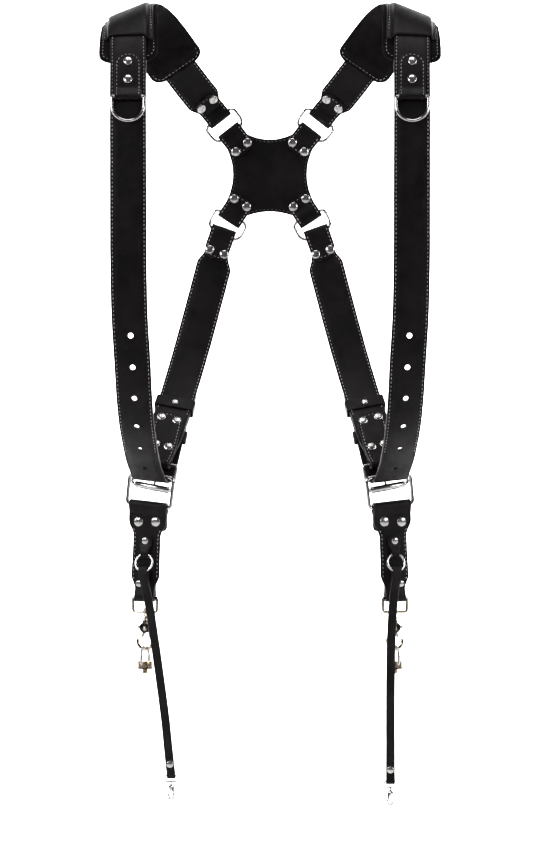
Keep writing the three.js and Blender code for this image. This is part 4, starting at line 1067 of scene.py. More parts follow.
@dataclass(frozen=True)
class Fold:
    """The end of a band folded round a bar and sewn or riveted back on itself.

    Attributes:
        bar: The bar's middle.
        away: The direction from the bar along the band.
        face: The side on which the folded end lies.
        w: The direction across the band.
        bar_radius: The bar's radius.
        thickness: The leather's thickness.
        tab: Length of the folded end, from the bar.
        half: Half the band's width at the fold.
        sag: Slack for a bar that is bent or askew.
        shift: How far both layers lie towards face.
        arch: How much of the end is round: 0 for square corners, 1 for a half circle.
        reach: Length in which the fold closes behind its bar.
        way: The way of the band that is folded, if it has one.
        at_end: Whether the fold is at the way's end.
    """

    bar: np.ndarray
    away: np.ndarray
    face: np.ndarray
    w: np.ndarray
    bar_radius: float
    thickness: float
    tab: float
    half: float
    sag: float = 0.0
    shift: float = 0.0
    arch: float = 0.6
    reach: float = 10.0 * MM
    way: "Way | None" = None
    at_end: bool = False

    @property
    def lie(self) -> float:
        """Half the distance between the two layers' middles."""
        return (self.thickness + 0.3 * MM) / 2

    @property
    def turn(self) -> float:
        """Radius of the leather's middle round the bar."""
        return self.bar_radius + 0.4 * MM + self.thickness / 2

    @property
    def corner(self) -> float:
        """Radius of the folded end's corners."""
        most = self.tab - self.reach - self.sag - 1 * MM
        return min(max(self.half * self.arch, 1.5 * MM), most)

    def place(self, u: np.ndarray, v: np.ndarray) -> tuple[np.ndarray, np.ndarray, np.ndarray]:
        """Give points at distances from the bar, along the band's way where it has one.

        Args:
            u: Distances from the bar along the band.
            v: Distances towards the folded end's side.

        Returns:
            The points, the directions across the band and the directions towards that side.
        """
        u, v = (np.asarray(a, dtype=float) for a in np.broadcast_arrays(u, v))
        p = self.bar + u[:, None] * self.away + v[:, None] * self.face
        w, n = (np.broadcast_to(a, p.shape).copy() for a in (self.w, self.face))
        if self.way is None:
            return p, w, n
        s = u - self.reach - self.sag
        on = s > 0
        q, across, out, _ = self.way.sample(self.way.length - s if self.at_end else s)
        share = smooth(s / (9 * MM))[:, None]
        side = unit(-out * share + self.face * (1 - share))
        along = q + side * (v - self.shift + self.lie)[:, None]
        p[on], n[on] = along[on], side[on]
        w[on] = unit(across * share + self.w * (1 - share))[on]
        return p, w, n

    def line(self) -> tuple[np.ndarray, np.ndarray, np.ndarray]:
        """Give the band's middle line, width directions and half widths, from the tip.

        Returns:
            The three arrays.
        """
        rho, corner = self.turn, self.corner
        drop = corner * (1 - np.sin(np.linspace(math.pi / 2, 0.0, 12)))
        tip_half = self.half - corner + np.sqrt(np.maximum(corner**2 - (corner - drop) ** 2, 0))
        plain = np.linspace(self.tab - corner, self.reach + self.sag, 14)[1:]
        close = np.linspace(1.0, 0.0, 8)[1:]
        ease = smooth(1 - close)
        near, far = self.shift + self.lie, self.shift - self.lie
        angle = np.linspace(0, math.pi, 17)
        u = np.concatenate([
            self.tab - drop, plain, self.sag + close * self.reach, -self.sag - rho * np.sin(angle),
            self.sag + close[::-1] * self.reach,
        ])
        v = np.concatenate([
            np.full(len(drop) + len(plain), near), near + (rho - near) * ease, rho * np.cos(angle),
            far + (-rho - far) * ease[::-1],
        ])
        half = np.full(len(u), self.half)
        half[: len(drop)] = np.maximum(tip_half, 0.6 * MM)
        p, w, _ = self.place(u, v)
        return p, w, half

    def seam(self, inset: float) -> tuple[np.ndarray, np.ndarray]:
        """Give the sewn line round the folded end, on its face.

        Args:
            inset: The line's distance from the edge.

        Returns:
            Points and outward directions.
        """
        side, corner = self.half - inset, self.corner
        inner = max(corner - inset, 0.01 * MM)
        start = -self.sag - self.bar_radius * 0.5
        turn = np.linspace(0, math.pi / 2, 9)[1:]
        u = np.concatenate([
            np.linspace(start, self.tab - corner, 16), self.tab - corner + inner * np.sin(turn),
        ])
        x = np.concatenate([np.full(16, -side), -side + inner * (1 - np.cos(turn))])
        u, x = np.concatenate([u, u[::-1]]), np.concatenate([x, -x[::-1]])
        near = self.shift + self.lie
        rise = (self.turn - near) * smooth((self.reach + self.sag - u) / self.reach)
        p, w, n = self.place(u, near + rise + self.thickness / 2 - 0.1 * MM)
        return p + w * x[:, None], n

    def spots(self, places: Sequence[tuple[float, float]]) -> tuple[np.ndarray, np.ndarray]:
        """Give places on the folded end's face.

        Args:
            places: Pairs of distance from the bar and distance across.

        Returns:
            Points and outward directions.
        """
        u, x = np.array(places).T
        p, w, n = self.place(u, self.shift + self.lie + self.thickness / 2)
        return p + w * x[:, None], n

    def far_spots(self, places: Sequence[tuple[float, float]]) -> tuple[np.ndarray, np.ndarray]:
        """Give the same places on the band's other face.

        Args:
            places: Pairs of distance from the bar and distance across.

        Returns:
            Points and outward directions.
        """
        u, x = np.array(places).T
        p, w, n = self.place(u, self.shift - self.lie - self.thickness / 2)
        return p + w * x[:, None], -n


# Sewing and rivets


@dataclass(frozen=True)
class Sewing:
    """A row of sewn stitches.

    Attributes:
        pitch: From a stitch to the next.
        length: Length of a stitch.
        radius: Thickness of the thread, halved.
        sink: How deep the thread's middle lies under the face.
        inset: The row's distance from a band's edge.
    """

    pitch: float = 4.3 * MM
    length: float = 2.6 * MM
    radius: float = 0.42 * MM
    sink: float = 0.10 * MM
    inset: float = 2.6 * MM

    def row(self, points: np.ndarray, out: np.ndarray, start: float = 0.0) -> Shape | None:
        """Sew along a line.

        Args:
            points: The line.
            out: The outward direction at each of its points.
            start: Distance of the first stitch from the line's start.

        Returns:
            The stitches, or None where the line is too short.
        """
        s = np.concatenate([[0.0], np.cumsum(np.linalg.norm(np.diff(points, axis=0), axis=1))])
        middle = np.arange(start + self.pitch / 2, s[-1] - self.pitch / 3, self.pitch)
        if len(middle) == 0:
            return None
        n = unit(read_at(middle, s, out))
        ahead, behind = (read_at(middle + step * self.length / 2, s, points) for step in (1, -1))
        x = unit(ahead - behind)
        y = unit(np.cross(n, x))
        centre = read_at(middle, s, points) - n * self.sink
        along = np.array([-1.0, -0.82, -0.45, 0.0, 0.45, 0.82, 1.0])
        thick = np.array([0.25, 0.72, 0.98, 1.0, 0.98, 0.72, 0.25])
        bow = np.array([-0.55, -0.25, -0.04, 0.0, -0.04, -0.25, -0.55])
        sides = 6
        angle = np.linspace(0, 2 * math.pi, sides, endpoint=False)
        ring = thick[:, None] * self.radius
        lengthwise = np.repeat(along[:, None] * self.length / 2, sides, 1)
        rise = ring * np.sin(angle) + bow[:, None] * self.radius
        local = np.stack([lengthwise, ring * np.cos(angle), rise], -1).reshape(-1, 3)
        stitch = Shape(local, tube_faces(len(along), sides, False))
        return stamped(stitch, centre, np.stack([x, y, n], 1))


@dataclass(frozen=True)
class Rivet:
    """A double-capped rivet.

    Attributes:
        radius: Radius of its cap.
        height: Height of its dome.
        rim: Height of its straight rim.
    """

    radius: float = 4.7 * MM
    height: float = 1.7 * MM
    rim: float = 0.45 * MM

    def heads(self, points: np.ndarray, out: np.ndarray) -> Shape:
        """Set rivet heads on a face.

        Args:
            points: Their middles.
            out: The face's outward direction at each.

        Returns:
            The heads.
        """
        r, h, e = self.radius, self.height, self.rim
        dome = [
            (r * math.sin(a), e + (h - e) * math.cos(a)) for a in np.radians([84, 72, 58, 44, 30, 16, 5])
        ]
        profile = [(r * 0.97, -0.6 * MM), (r, -0.2 * MM), (r, e * 0.7), *dome]
        local = lathe(profile, 28)
        helper = np.where(np.abs(out[:, 2:3]) > 0.9, vec(1, 0, 0), UP)
        x = unit(np.cross(helper, out))
        y = np.cross(out, x)
        return stamped(local, points, np.stack([x, y, out], 1))


# The torso that the harness is worn on, and the layout worked out from it


@dataclass(frozen=True)
class WayRow:
    """A row of a strap's way: shares of the torso's sizes, and turns of the strap's width."""

    x: float
    y: float
    z: float
    yaw: float
    roll: float


STRAP_WAY = (
    WayRow(-0.509, 0.95, -0.151, 0, 37),
    WayRow(-0.648, 0.8, -0.097, 0, 34.5),
    WayRow(-0.793, 0.56, -0.038, 0, 31),
    WayRow(-0.883, 0.36, -0.005, 0, 28),
    WayRow(-0.951, 0.16, 0.0126, 0, 24.5),
    WayRow(-1.0, 0.0, 0.0184, 0, 22),
    WayRow(-1.007, -0.26, -0.0035, 0, 18),
    WayRow(-1.003, -0.48, -0.046, 0, 10),
    WayRow(-0.999, -0.64, -0.1055, 0, 3),
    WayRow(-0.997, -0.78, -0.186, 0, 0),
    WayRow(-0.994, -0.9, -0.297, 0, 0),
    WayRow(-0.992, -0.97, -0.406, 0, 0),
    WayRow(-0.99, -1.0, -0.536, 0, 0),
    WayRow(-0.982, -0.99, -0.655, -2, 0),
    WayRow(-0.963, -0.95, -0.757, -4, 0),
    WayRow(-0.952, -0.88, -0.827, -8, -1),
    WayRow(-0.938, -0.73, -0.89, -12, -3),
    WayRow(-0.919, -0.52, -0.937, -15, -4),
    WayRow(-0.896, -0.27, -0.978, -17, -5),
)

LOWER_WAY = (
    WayRow(-0.761, 0.14, -0.9365, -16, -12),
    WayRow(-0.72, 0.33, -0.883, -14, -14),
    WayRow(-0.667, 0.535, -0.831, -11, -15),
    WayRow(-0.569, 0.79, -0.725, -6, -16),
    WayRow(-0.472, 0.925, -0.612, -2, -17),
    WayRow(-0.397, 0.985, -0.521, 0, -18),
)


@dataclass(frozen=True)
class Torso:
    """The sizes of the torso."""

    shoulder_half: float = 0.148
    chest_depth: float = 0.100
    back_depth: float = 0.105
    hip_drop: float = 0.477
    hip_half: float = 0.125
    hip_yaw: float = 18.0
    hip_tilt: float = 6.0
    patch_drop: float = 0.1576


@dataclass(frozen=True)
class Sizes:
    """Sizes shared by several sub-assemblies."""

    strap_width: float = 38 * MM
    strap_thickness: float = 3 * MM
    fold_width: float = 27.4 * MM
    fold_reach: float = 10 * MM
    narrowing: float = 14 * MM
    strap_tab: float = 30 * MM
    gap: float = 0.3 * MM
    clearance: float = 0.4 * MM
    pad_thickness: float = 7 * MM
    ring_wire: float = 1.7 * MM
    back_ring_width: float = 37.6 * MM
    back_ring_height: float = 22.4 * MM
    back_ring_bow: float = 10 * MM
    back_ring_bar: float = 5 * MM
    upper_ring_turn: float = 38.0
    lower_ring_turn: float = 27.0
    lower_strap_turn: float = 19.5
    patch_reach_x: float = 41.3 * MM
    patch_reach_z: float = 44.2 * MM
    turn_radius: float = 6 * MM
    buckle_tilt: float = 10.0
    buckle_wire: float = 1.75 * MM
    buckle_width: float = 46 * MM
    buckle_height: float = 26.8 * MM
    roller_shift: float = 2 * MM
    roller_drop: float = 14.9 * MM
    buckle_depth: float = 1.6 * MM
    lower_thickness: float = 2.6 * MM
    buckle_tab: float = 65 * MM
    buckle_rivet: float = 21 * MM
    heel_widening: float = 40 * MM
    heel_fold_share: float = 1.12
    lower_tab: float = 28 * MM
    free_end: float = 122 * MM
    free_offset: float = 6 * MM
    hip_ring_wire: float = 2 * MM
    hip_ring_width: float = 49 * MM
    hip_ring_height: float = 32.4 * MM
    hip_ring_shift: float = 1.4 * MM


class Layout:
    """Places shared by the sub-assemblies of one side, in left-hand coordinates."""

    def __init__(self, torso: Torso, sizes: Sizes) -> None:
        """Work out the rings, the hip hardware and the two straps' ways.

        Args:
            torso: The torso's sizes.
            sizes: The harness's shared sizes.
        """
        self.torso, self.sizes = torso, sizes
        self.upper_bar, self.upper_away, self.upper_far = self.back_ring(1, sizes.upper_ring_turn)
        self.lower_bar, self.lower_away, self.lower_far = self.back_ring(-1, sizes.lower_ring_turn)
        self.hip = Pose.along_bar(
            vec(-torso.hip_half, 0, -torso.hip_drop), width_direction(-torso.hip_yaw, -torso.hip_tilt)
        )
        self.buckle = self.hip.moved(sizes.roller_shift, sizes.buckle_depth, -sizes.roller_drop).turned(
            "Y", sizes.buckle_tilt - torso.hip_tilt
        )
        seat = (sizes.turn_radius - sizes.hip_ring_wire - sizes.clearance) * math.sqrt(0.5)
        self.hip_ring = self.hip.moved(sizes.hip_ring_shift, -seat, -seat)
        self.lower_strap()
        self.main_strap()

    def back_ring(self, side: int, turn: float) -> tuple[np.ndarray, np.ndarray, np.ndarray]:
        """Place a back ring.

        Args:
            side: 1 for the upper ring, -1 for the lower one.
            turn: Its turn from upright, in degrees.

        Returns:
            The bar at the patch, the direction away from it and the far bar.
        """
        sizes = self.sizes
        a = math.radians(turn)
        bar = vec(
            -sizes.patch_reach_x, self.torso.back_depth, -self.torso.patch_drop + side * sizes.patch_reach_z
        )
        away = vec(-math.sin(a), 0, side * math.cos(a))
        return bar, away, bar + away * sizes.back_ring_height

    def slack(self, corner: float, skew: float) -> float:
        """Give the slack that a fold needs round a back ring's end.

        Args:
            corner: The ring's corner radius at that end.
            skew: Degrees between the ring and the strap.

        Returns:
            The slack.
        """
        sizes = self.sizes
        half = sizes.fold_width / 2
        past = max(0.0, half - (sizes.back_ring_width / 2 - corner))
        slope = math.asin(past / corner)
        bow = corner * (1 - math.cos(slope)) + sizes.ring_wire * (1 / math.cos(slope) - 1)
        return bow + half * math.sin(math.radians(abs(skew))) + 2 * sizes.clearance

    def rows(self, table: Sequence[WayRow], depth: float) -> tuple[np.ndarray, np.ndarray]:
        """Turn a way's rows into points and width directions.

        Args:
            table: The rows.
            depth: What y is a share of.

        Returns:
            The points and the width directions.
        """
        torso, sizes = self.torso, self.sizes
        crest = sizes.pad_thickness + sizes.gap + sizes.strap_thickness / 2
        points = [
            vec(
                row.x * torso.shoulder_half,
                row.y * depth,
                crest - (0.0184 - row.z) * torso.hip_drop if row.z > 0 else row.z * torso.hip_drop,
            )
            for row in table
        ]
        return np.array(points), np.array([width_direction(row.yaw, row.roll) for row in table])

    def lower_strap(self) -> None:
        """Place the lower back strap, its fold on the buckle and its fold on the ring."""
        sizes = self.sizes
        heel = self.buckle.point(0, 0, sizes.buckle_height)
        points, widths = self.rows(LOWER_WAY, self.torso.back_depth)
        w = self.buckle.axis(0)
        away = unit(points[0] - heel)
        face = unit(np.cross(w, away))
        t = sizes.lower_thickness
        self.heel_fold = Fold(
            heel,
            away,
            face,
            w,
            sizes.buckle_wire,
            t,
            sizes.buckle_tab,
            sizes.fold_width / 2 * sizes.heel_fold_share,
            arch=0.98,
        )
        a = math.radians(sizes.lower_strap_turn)
        top_w = width_direction(0, -sizes.lower_strap_turn)
        self.top_fold = Fold(
            self.lower_far,
            vec(-math.sin(a), 0, -math.cos(a)),
            TOWARDS_BODY,
            top_w,
            sizes.ring_wire,
            t,
            sizes.lower_tab,
            sizes.fold_width / 2,
            sag=self.slack(sizes.back_ring_bow, sizes.lower_ring_turn - sizes.lower_strap_turn),
            arch=0.75,
        )
        lie = self.heel_fold.lie
        start = heel + away * sizes.fold_reach - face * lie
        top = self.top_fold
        end = top.bar + top.away * (sizes.fold_reach + top.sag) - top.face * lie
        self.lower = Way(
            np.concatenate([[start], points, [end]]), np.concatenate([[w], widths, [top_w]])
        )
        self.heel_fold = replace(self.heel_fold, way=self.lower)
        self.top_fold = replace(self.top_fold, way=self.lower, at_end=True)

    def main_strap(self) -> None:
        """Place the main strap: back ring, shoulder, chest, turn at the hip and free end."""
        sizes = self.sizes
        t = sizes.strap_thickness
        w = width_direction(0, sizes.upper_ring_turn)
        self.back_fold = Fold(
            self.upper_far,
            self.upper_away,
            TOWARDS_BODY,
            w,
            sizes.ring_wire,
            t,
            sizes.strap_tab,
            sizes.fold_width / 2,
            arch=0.75,
        )
        lie = self.back_fold.lie
        start = self.upper_far + self.upper_away * sizes.fold_reach - TOWARDS_BODY * lie
        points, widths = self.rows(STRAP_WAY, self.torso.chest_depth)
        middle = sizes.turn_radius + t / 2
        turn_rows, hip_w = [], self.hip.axis(0)
        for degrees in (62, 90, 118, 146, 172):
            a = math.radians(degrees)
            across = (0.3 + (degrees - 62) / 110 * 4) * MM
            turn_rows.append(self.hip.point(across, -middle * math.cos(a), -middle * math.sin(a)))
        s = np.arange(16 * MM, sizes.free_end + 1 * MM, 18 * MM)
        free, _ = self.lower.rail(s, 0.0, sizes.free_offset)
        _, free_w, _, _ = self.lower.sample(s)
        rows = np.concatenate([[start], points, turn_rows, free])
        across_rows = np.concatenate([[w], widths, np.tile(hip_w, (5, 1)), free_w])
        self.main = Way(rows, across_rows)
        self.back_fold = replace(self.back_fold, way=self.main)
        self.crest = self.main.row_at(1 + next(i for i, r in enumerate(STRAP_WAY) if r.y == 0))
        self.turn = self.main.row_at(1 + len(points) + 1)


# Sub-assemblies


@dataclass
class SewnWork:
    """Gathers one side's stitches and rivet heads while its leather is built."""

    sewing: Sewing = field(default_factory=Sewing)
    stitches: list[Shape] = field(default_factory=list)
    caps: list[Shape] = field(default_factory=list)

    def sew(self, points: np.ndarray, out: np.ndarray, start: float = 0.0) -> None:
        """Add a row of stitches along a line."""
        row = self.sewing.row(points, out, start)
        if row is not None:
            self.stitches.append(row)

    def sew_way(
        self, way: Way, s: np.ndarray, half: np.ndarray | float, thickness: float, lift: float = 0.0,
        faces: Sequence[int] = (1, -1), inset: float | None = None,
    ) -> None:
        """Sew both edges of a layer along a way.

        Args:
            way: The way.
            s: Distances along it.
            half: The layer's half width at each.
            thickness: Its thickness.
            lift: Its middle's distance outward from the way.
            faces: 1 for the outer face, -1 for the inner one.
            inset: The rows' distance from the edges.
        """
        inset = self.sewing.inset if inset is None else inset
        for face in faces:
            for side in (-1.0, 1.0):
                u = side * (np.broadcast_to(half, s.shape) - inset)
                points, out = way.rail(s, u, lift + face * (thickness / 2 - 0.12 * MM))
                self.sew(points, out * face)

    def rivets(self, places: tuple[np.ndarray, np.ndarray], radius: float = 4.7 * MM) -> None:
        """Set rivet heads at places on a face."""
        self.caps.append(Rivet(radius=radius, height=radius * 0.36).heads(*places))


@dataclass
class Part:
    """A sub-assembly.

    Attributes:
        layout: The places that it follows.
        shop: Makes its pieces.
        work: Takes its stitches and rivets.
    """

    layout: Layout
    shop: Workshop
    work: SewnWork


@dataclass
class MainStrap(Part):
    """The long strap: back fold, shoulder, chest, turn at the hip and free end."""

    hole_radius: float = 2.8 * MM
    hole_pitch: float = 33 * MM
    hole_offset: float = 27 * MM
    front_holes: int = 6
    free_holes: int = 2

    def half_at(self, s: np.ndarray) -> np.ndarray:
        """Give the strap's half width at distances along its way.

        Args:
            s: Distances along the way.

        Returns:
            The half widths.
        """
        sizes = self.layout.sizes
        grow = smooth((s - sizes.strap_tab * 0.5 + sizes.fold_reach) / sizes.narrowing)
        full = sizes.strap_width / 2
        half = sizes.fold_width / 2 + (full - sizes.fold_width / 2) * grow
        left = np.clip(self.layout.main.length - s, 0.0, full)
        tip = np.sqrt(np.maximum(full**2 - (full - left) ** 2, (1.0 * MM) ** 2))
        return np.minimum(half, np.maximum(tip, 1.0 * MM))

    def hole_places(self) -> np.ndarray:
        """Give the holes' distances along the way, the prong's own among them."""
        k = np.arange(self.front_holes + 1 + self.free_holes)
        return self.layout.turn + self.hole_pitch * (k + 1 - self.front_holes) - self.hole_offset

    def build(self) -> None:
        """Make the strap, punch its holes, and sew and rivet it."""
        lay, t = self.layout, self.layout.sizes.strap_thickness
        way = lay.main
        s = np.concatenate([
            np.arange(1 * MM, lay.turn - 20 * MM, 2.4 * MM),
            np.arange(lay.turn - 20 * MM, lay.turn + 26 * MM, 1.0 * MM),
            np.arange(lay.turn + 26 * MM, way.length - 19 * MM, 2.4 * MM),
            way.length - 19 * MM * (1 - np.sin(np.linspace(0, math.pi / 2, 14))),
        ])
        fp, fw, fh = lay.back_fold.line()
        p, w, _, _ = way.sample(s)
        shape = band(
            np.concatenate([fp, p]), np.concatenate([fw, w]), np.concatenate([fh, self.half_at(s)]), t
        )
        strap = self.shop.piece("main_strap_leather", shape, Finish.LEATHER, ["main_strap"])
        self.punch(strap)
        sewn = np.arange(16 * MM, lay.turn - 52 * MM, 2 * MM)
        self.work.sew_way(way, sewn, self.half_at(sewn), t)
        self.work.sew(*lay.back_fold.seam(self.work.sewing.inset))
        places = [(22.5 * MM, -8 * MM), (22.5 * MM, 8 * MM)]
        self.work.rivets(lay.back_fold.spots(places))
        self.work.rivets(lay.back_fold.far_spots(places))

    def punch(self, strap: bpy.types.Object) -> None:
        """Cut the strap's holes.

        Args:
            strap: The strap's object.
        """
        p, _, out, run = self.layout.main.sample(self.hole_places())
        t = self.layout.sizes.strap_thickness
        shapes = []
        for point, normal, along_run in zip(p, out, run):
            r = self.hole_radius
            profile = [(r * 0.98, -t * 1.4), (r, -t * 0.2), (r, t * 0.2), (r * 1.02, t * 1.4)]
            x = unit(along_run - normal * np.dot(along_run, normal))
            shapes.append(lathe(profile, 24).placed(Pose.of(point, x, np.cross(normal, x), normal)))
        cutter = bpy.data.objects.new("punch", self.shop.mesh("punch", Shape.joined(shapes)))
        bpy.context.scene.collection.objects.link(cutter)
        cut = strap.modifiers.new("holes", "BOOLEAN")
        cut.object = cutter
        cut.solver = "EXACT"
        graph = bpy.context.evaluated_depsgraph_get()
        result = bpy.data.meshes.new_from_object(strap.evaluated_get(graph))
        strap.modifiers.clear()
        strap.data = result
        bpy.data.objects.remove(cutter)


@dataclass
class ShoulderPad(Part):
    """The padded cushion under the strap, and the leather band that holds the strap to it."""

    width: float = 62 * MM
    edge: float = 3.4 * MM
    front: float = 86 * MM
    back: float = 112 * MM
    corner: float = 12 * MM
    seam: float = 4.2 * MM
    swell_width: float = 8 * MM
    pinch_depth: float = 0.55 * MM
    pinch_width: float = 1.1 * MM
    lip_depth: float = 1.1 * MM
    lip_width: float = 1.6 * MM
    band_front: float = 56 * MM
    band_back: float = 24 * MM
    band_wall: float = 2 * MM
    band_foot: float = 6 * MM
    band_slant: float = 0.2
    band_droop: float = 3.5 * MM
    band_room: float = 0.6 * MM

    def build(self) -> None:
        """Make the pad and its band."""
        self.cushion()
        self.bridge()

    def half_at(self, s: np.ndarray) -> np.ndarray:
        """Give the pad's half width at distances along the strap.

        Args:
            s: Distances along the way.

        Returns:
            The half widths.
        """
        start, end = self.layout.crest - self.back, self.layout.crest + self.front
        d = np.clip(np.minimum(s - start, end - s), 0.0, self.corner)
        c = self.corner
        return self.width / 2 - c + np.sqrt(np.maximum(c**2 - (c - d) ** 2, 0.0))

    def cushion(self) -> None:
        """Make the pad: a napped shell, full in the middle, pinched at its sewn border."""
        lay, sizes = self.layout, self.layout.sizes
        start, end = lay.crest - self.back, lay.crest + self.front
        ease = self.corner * (1 - np.cos(np.linspace(0, math.pi / 2, 10)))
        s = np.concatenate([
            start + ease[:-1], np.arange(start + self.corner, end - self.corner, 3 * MM), end - ease[::-1],
        ])
        half = np.maximum(self.half_at(s), self.width / 2 - self.corner)
        top = -sizes.strap_thickness / 2 - sizes.gap
        from_end = np.minimum(s - start, end - s)
        full = smooth(from_end / (self.corner * 1.6))
        share = np.linspace(-1, 1, 33)
        u = share[None] * half[:, None]
        from_side = half[:, None] - np.abs(u)
        depth_in = np.minimum(from_side, from_end[:, None] + 1 * MM)
        swell = smooth(depth_in / self.swell_width)
        thick = self.edge + (sizes.pad_thickness - self.edge) * swell * full[:, None]
        pinch = self.pinch_depth * np.exp(-(((depth_in - self.seam) / self.pinch_width) ** 2))
        lip = self.lip_depth * (1 - np.clip(from_side / self.lip_width, 0, 1)) ** 2
        low = top - thick + pinch + lip
        high = top - pinch * 0.7 - lip
        p, w, out, _ = lay.main.sample(s)
        lower = p[:, None] + u[..., None] * w[:, None] + low[..., None] * out[:, None]
        upper = p[:, None] + u[..., None] * w[:, None] + high[..., None] * out[:, None]
        verts = np.concatenate([lower, upper[:, ::-1]], 1)
        faces = flat_faces(len(s), verts.shape[1])
        pad = self.shop.piece(
            "shoulder_pad_cushion",
            Shape(verts.reshape(-1, 3), faces),
            Finish.SUEDE,
            ["shoulder_pad"],
            sharp=70,
        )
        self.border(start, end, top)

    def border(self, start: float, end: float, top: float) -> None:
        """Sew the pad's border, on both of its faces.

        Args:
            start: Distance of the pad's back end along the strap.
            end: Distance of its front end.
            top: The pad's outer face, from the strap's middle.
        """
        corner, seam = self.corner, self.seam
        inner = corner - seam
        half = self.width / 2 - seam
        angle = np.linspace(0, math.pi / 2, 8)
        late, early = inner * np.sin(angle), inner * (1 - np.cos(angle))
        ahead = np.arange(start + corner, end - corner, 2 * MM)
        back = np.arange(end - corner, start + corner, -2 * MM)
        across = np.linspace(half - inner, inner - half, 14)
        line = [
            (ahead, np.full(len(ahead), half)),
            (end - corner + late, half - early),
            (np.full(14, end - seam), across),
            (end - corner + late[::-1], early[::-1] - half),
            (back, np.full(len(back), -half)),
            (start + corner - late, early - half),
            (np.full(14, start + seam), -across),
            (start + corner - late[::-1], half - early[::-1]),
        ]
        s, u = (np.concatenate(part) for part in zip(*line))
        for face, lift in ((1, top - 0.25 * MM), (-1, top - self.edge - 0.9 * MM)):
            points, out = self.layout.main.rail(s, u, lift)
            self.work.sew(points, out * face)

    def bridge(self) -> None:
        """Make the band of leather that arches over the strap and is sewn to the pad."""
        lay, sizes = self.layout, self.layout.sizes
        inner = sizes.strap_width / 2 + self.band_room
        seat = -sizes.strap_thickness / 2
        roof = sizes.strap_thickness / 2 + self.band_room
        wall, foot = self.band_wall, self.band_foot
        outer = inner + wall
        s = np.arange(lay.crest - self.band_back, lay.crest + self.band_front + 0.1 * MM, 2 * MM)
        s = np.concatenate([
            [s[0] + 0.0], s[0] + np.array([0.15, 0.5]) * MM, s[1:-1],
            s[-1] + np.array([-0.5, -0.15, 0.0]) * MM,
        ])
        trim = np.interp(s, [s[0], s[0] + 0.6 * MM, s[-1] - 0.6 * MM, s[-1]], [0.35 * MM, 0, 0, 0.35 * MM])
        over = [
            (-outer - foot + 0.3 * MM, seat + wall * 0.35),
            (-outer - foot + 0.9 * MM, seat + wall * 0.85),
            (-outer - 2.4 * MM, seat + wall * 0.95),
            (-outer - 1.1 * MM, seat + wall * 1.1),
            (-outer - 0.3 * MM, seat + wall * 1.5),
            (-outer + 0.2 * MM, roof + wall * 0.35),
            (-outer + 0.9 * MM, roof + wall * 0.8),
            (-outer + 2.4 * MM, roof + wall),
        ]
        middle = [(x, roof + wall + 0.15 * MM) for x in np.linspace(-inner * 0.8, inner * 0.8, 9)]
        top = np.array(over + middle + [(-x, y) for x, y in over[::-1]])
        under = [
            (-outer - foot + 0.3 * MM, seat), (-outer - 2.4 * MM, seat),
            (-inner - 0.4 * MM, seat + 0.1 * MM), (-inner, seat + 0.6 * MM),
            (-inner + 0.1 * MM, roof - 0.9 * MM), (-inner + 0.5 * MM, roof - 0.2 * MM),
            (-inner + 1.4 * MM, roof),
        ]
        inside = [(x, roof + 0.02 * MM) for x in np.linspace(-inner * 0.8, inner * 0.8, 11)]
        low = np.array(under + inside + [(-x, y) for x, y in under[::-1]])
        section = np.concatenate([low, top[::-1]])
        across = section[:, 0]
        grow = np.concatenate([np.ones(len(low)), -np.ones(len(top))])
        rise = section[:, 1] + trim[:, None] * grow
        slant = self.band_slant * across + self.band_droop * smooth(
            (np.abs(across) - inner + 2 * MM) / (4 * MM)
        )
        along = s[:, None] + smooth((s - s[0]) / (s[-1] - s[0]))[:, None] * slant
        p, w, out, _ = lay.main.sample(along.reshape(-1))
        verts = p + np.tile(across, len(s))[:, None] * w + rise.reshape(-1, 1) * out
        faces = flat_faces(len(s), len(section))
        rim = np.zeros((len(s), len(section)))
        rim[:2], rim[-2:] = 1.0, 1.0
        rim[:, [0, -1, len(low) - 1, len(low)]] = 1.0
        self.shop.piece(
            "pad_band_leather", Shape(verts, faces, rim.reshape(-1)), Finish.LEATHER, ["pad_band"]
        )
        rows = np.arange(s[0] + 2 * MM, s[-1] - 1 * MM, 2 * MM)
        for side in (-1.0, 1.0):
            self.work.sew(*lay.main.rail(rows, side * (outer + foot * 0.55), seat + wall * 0.9))


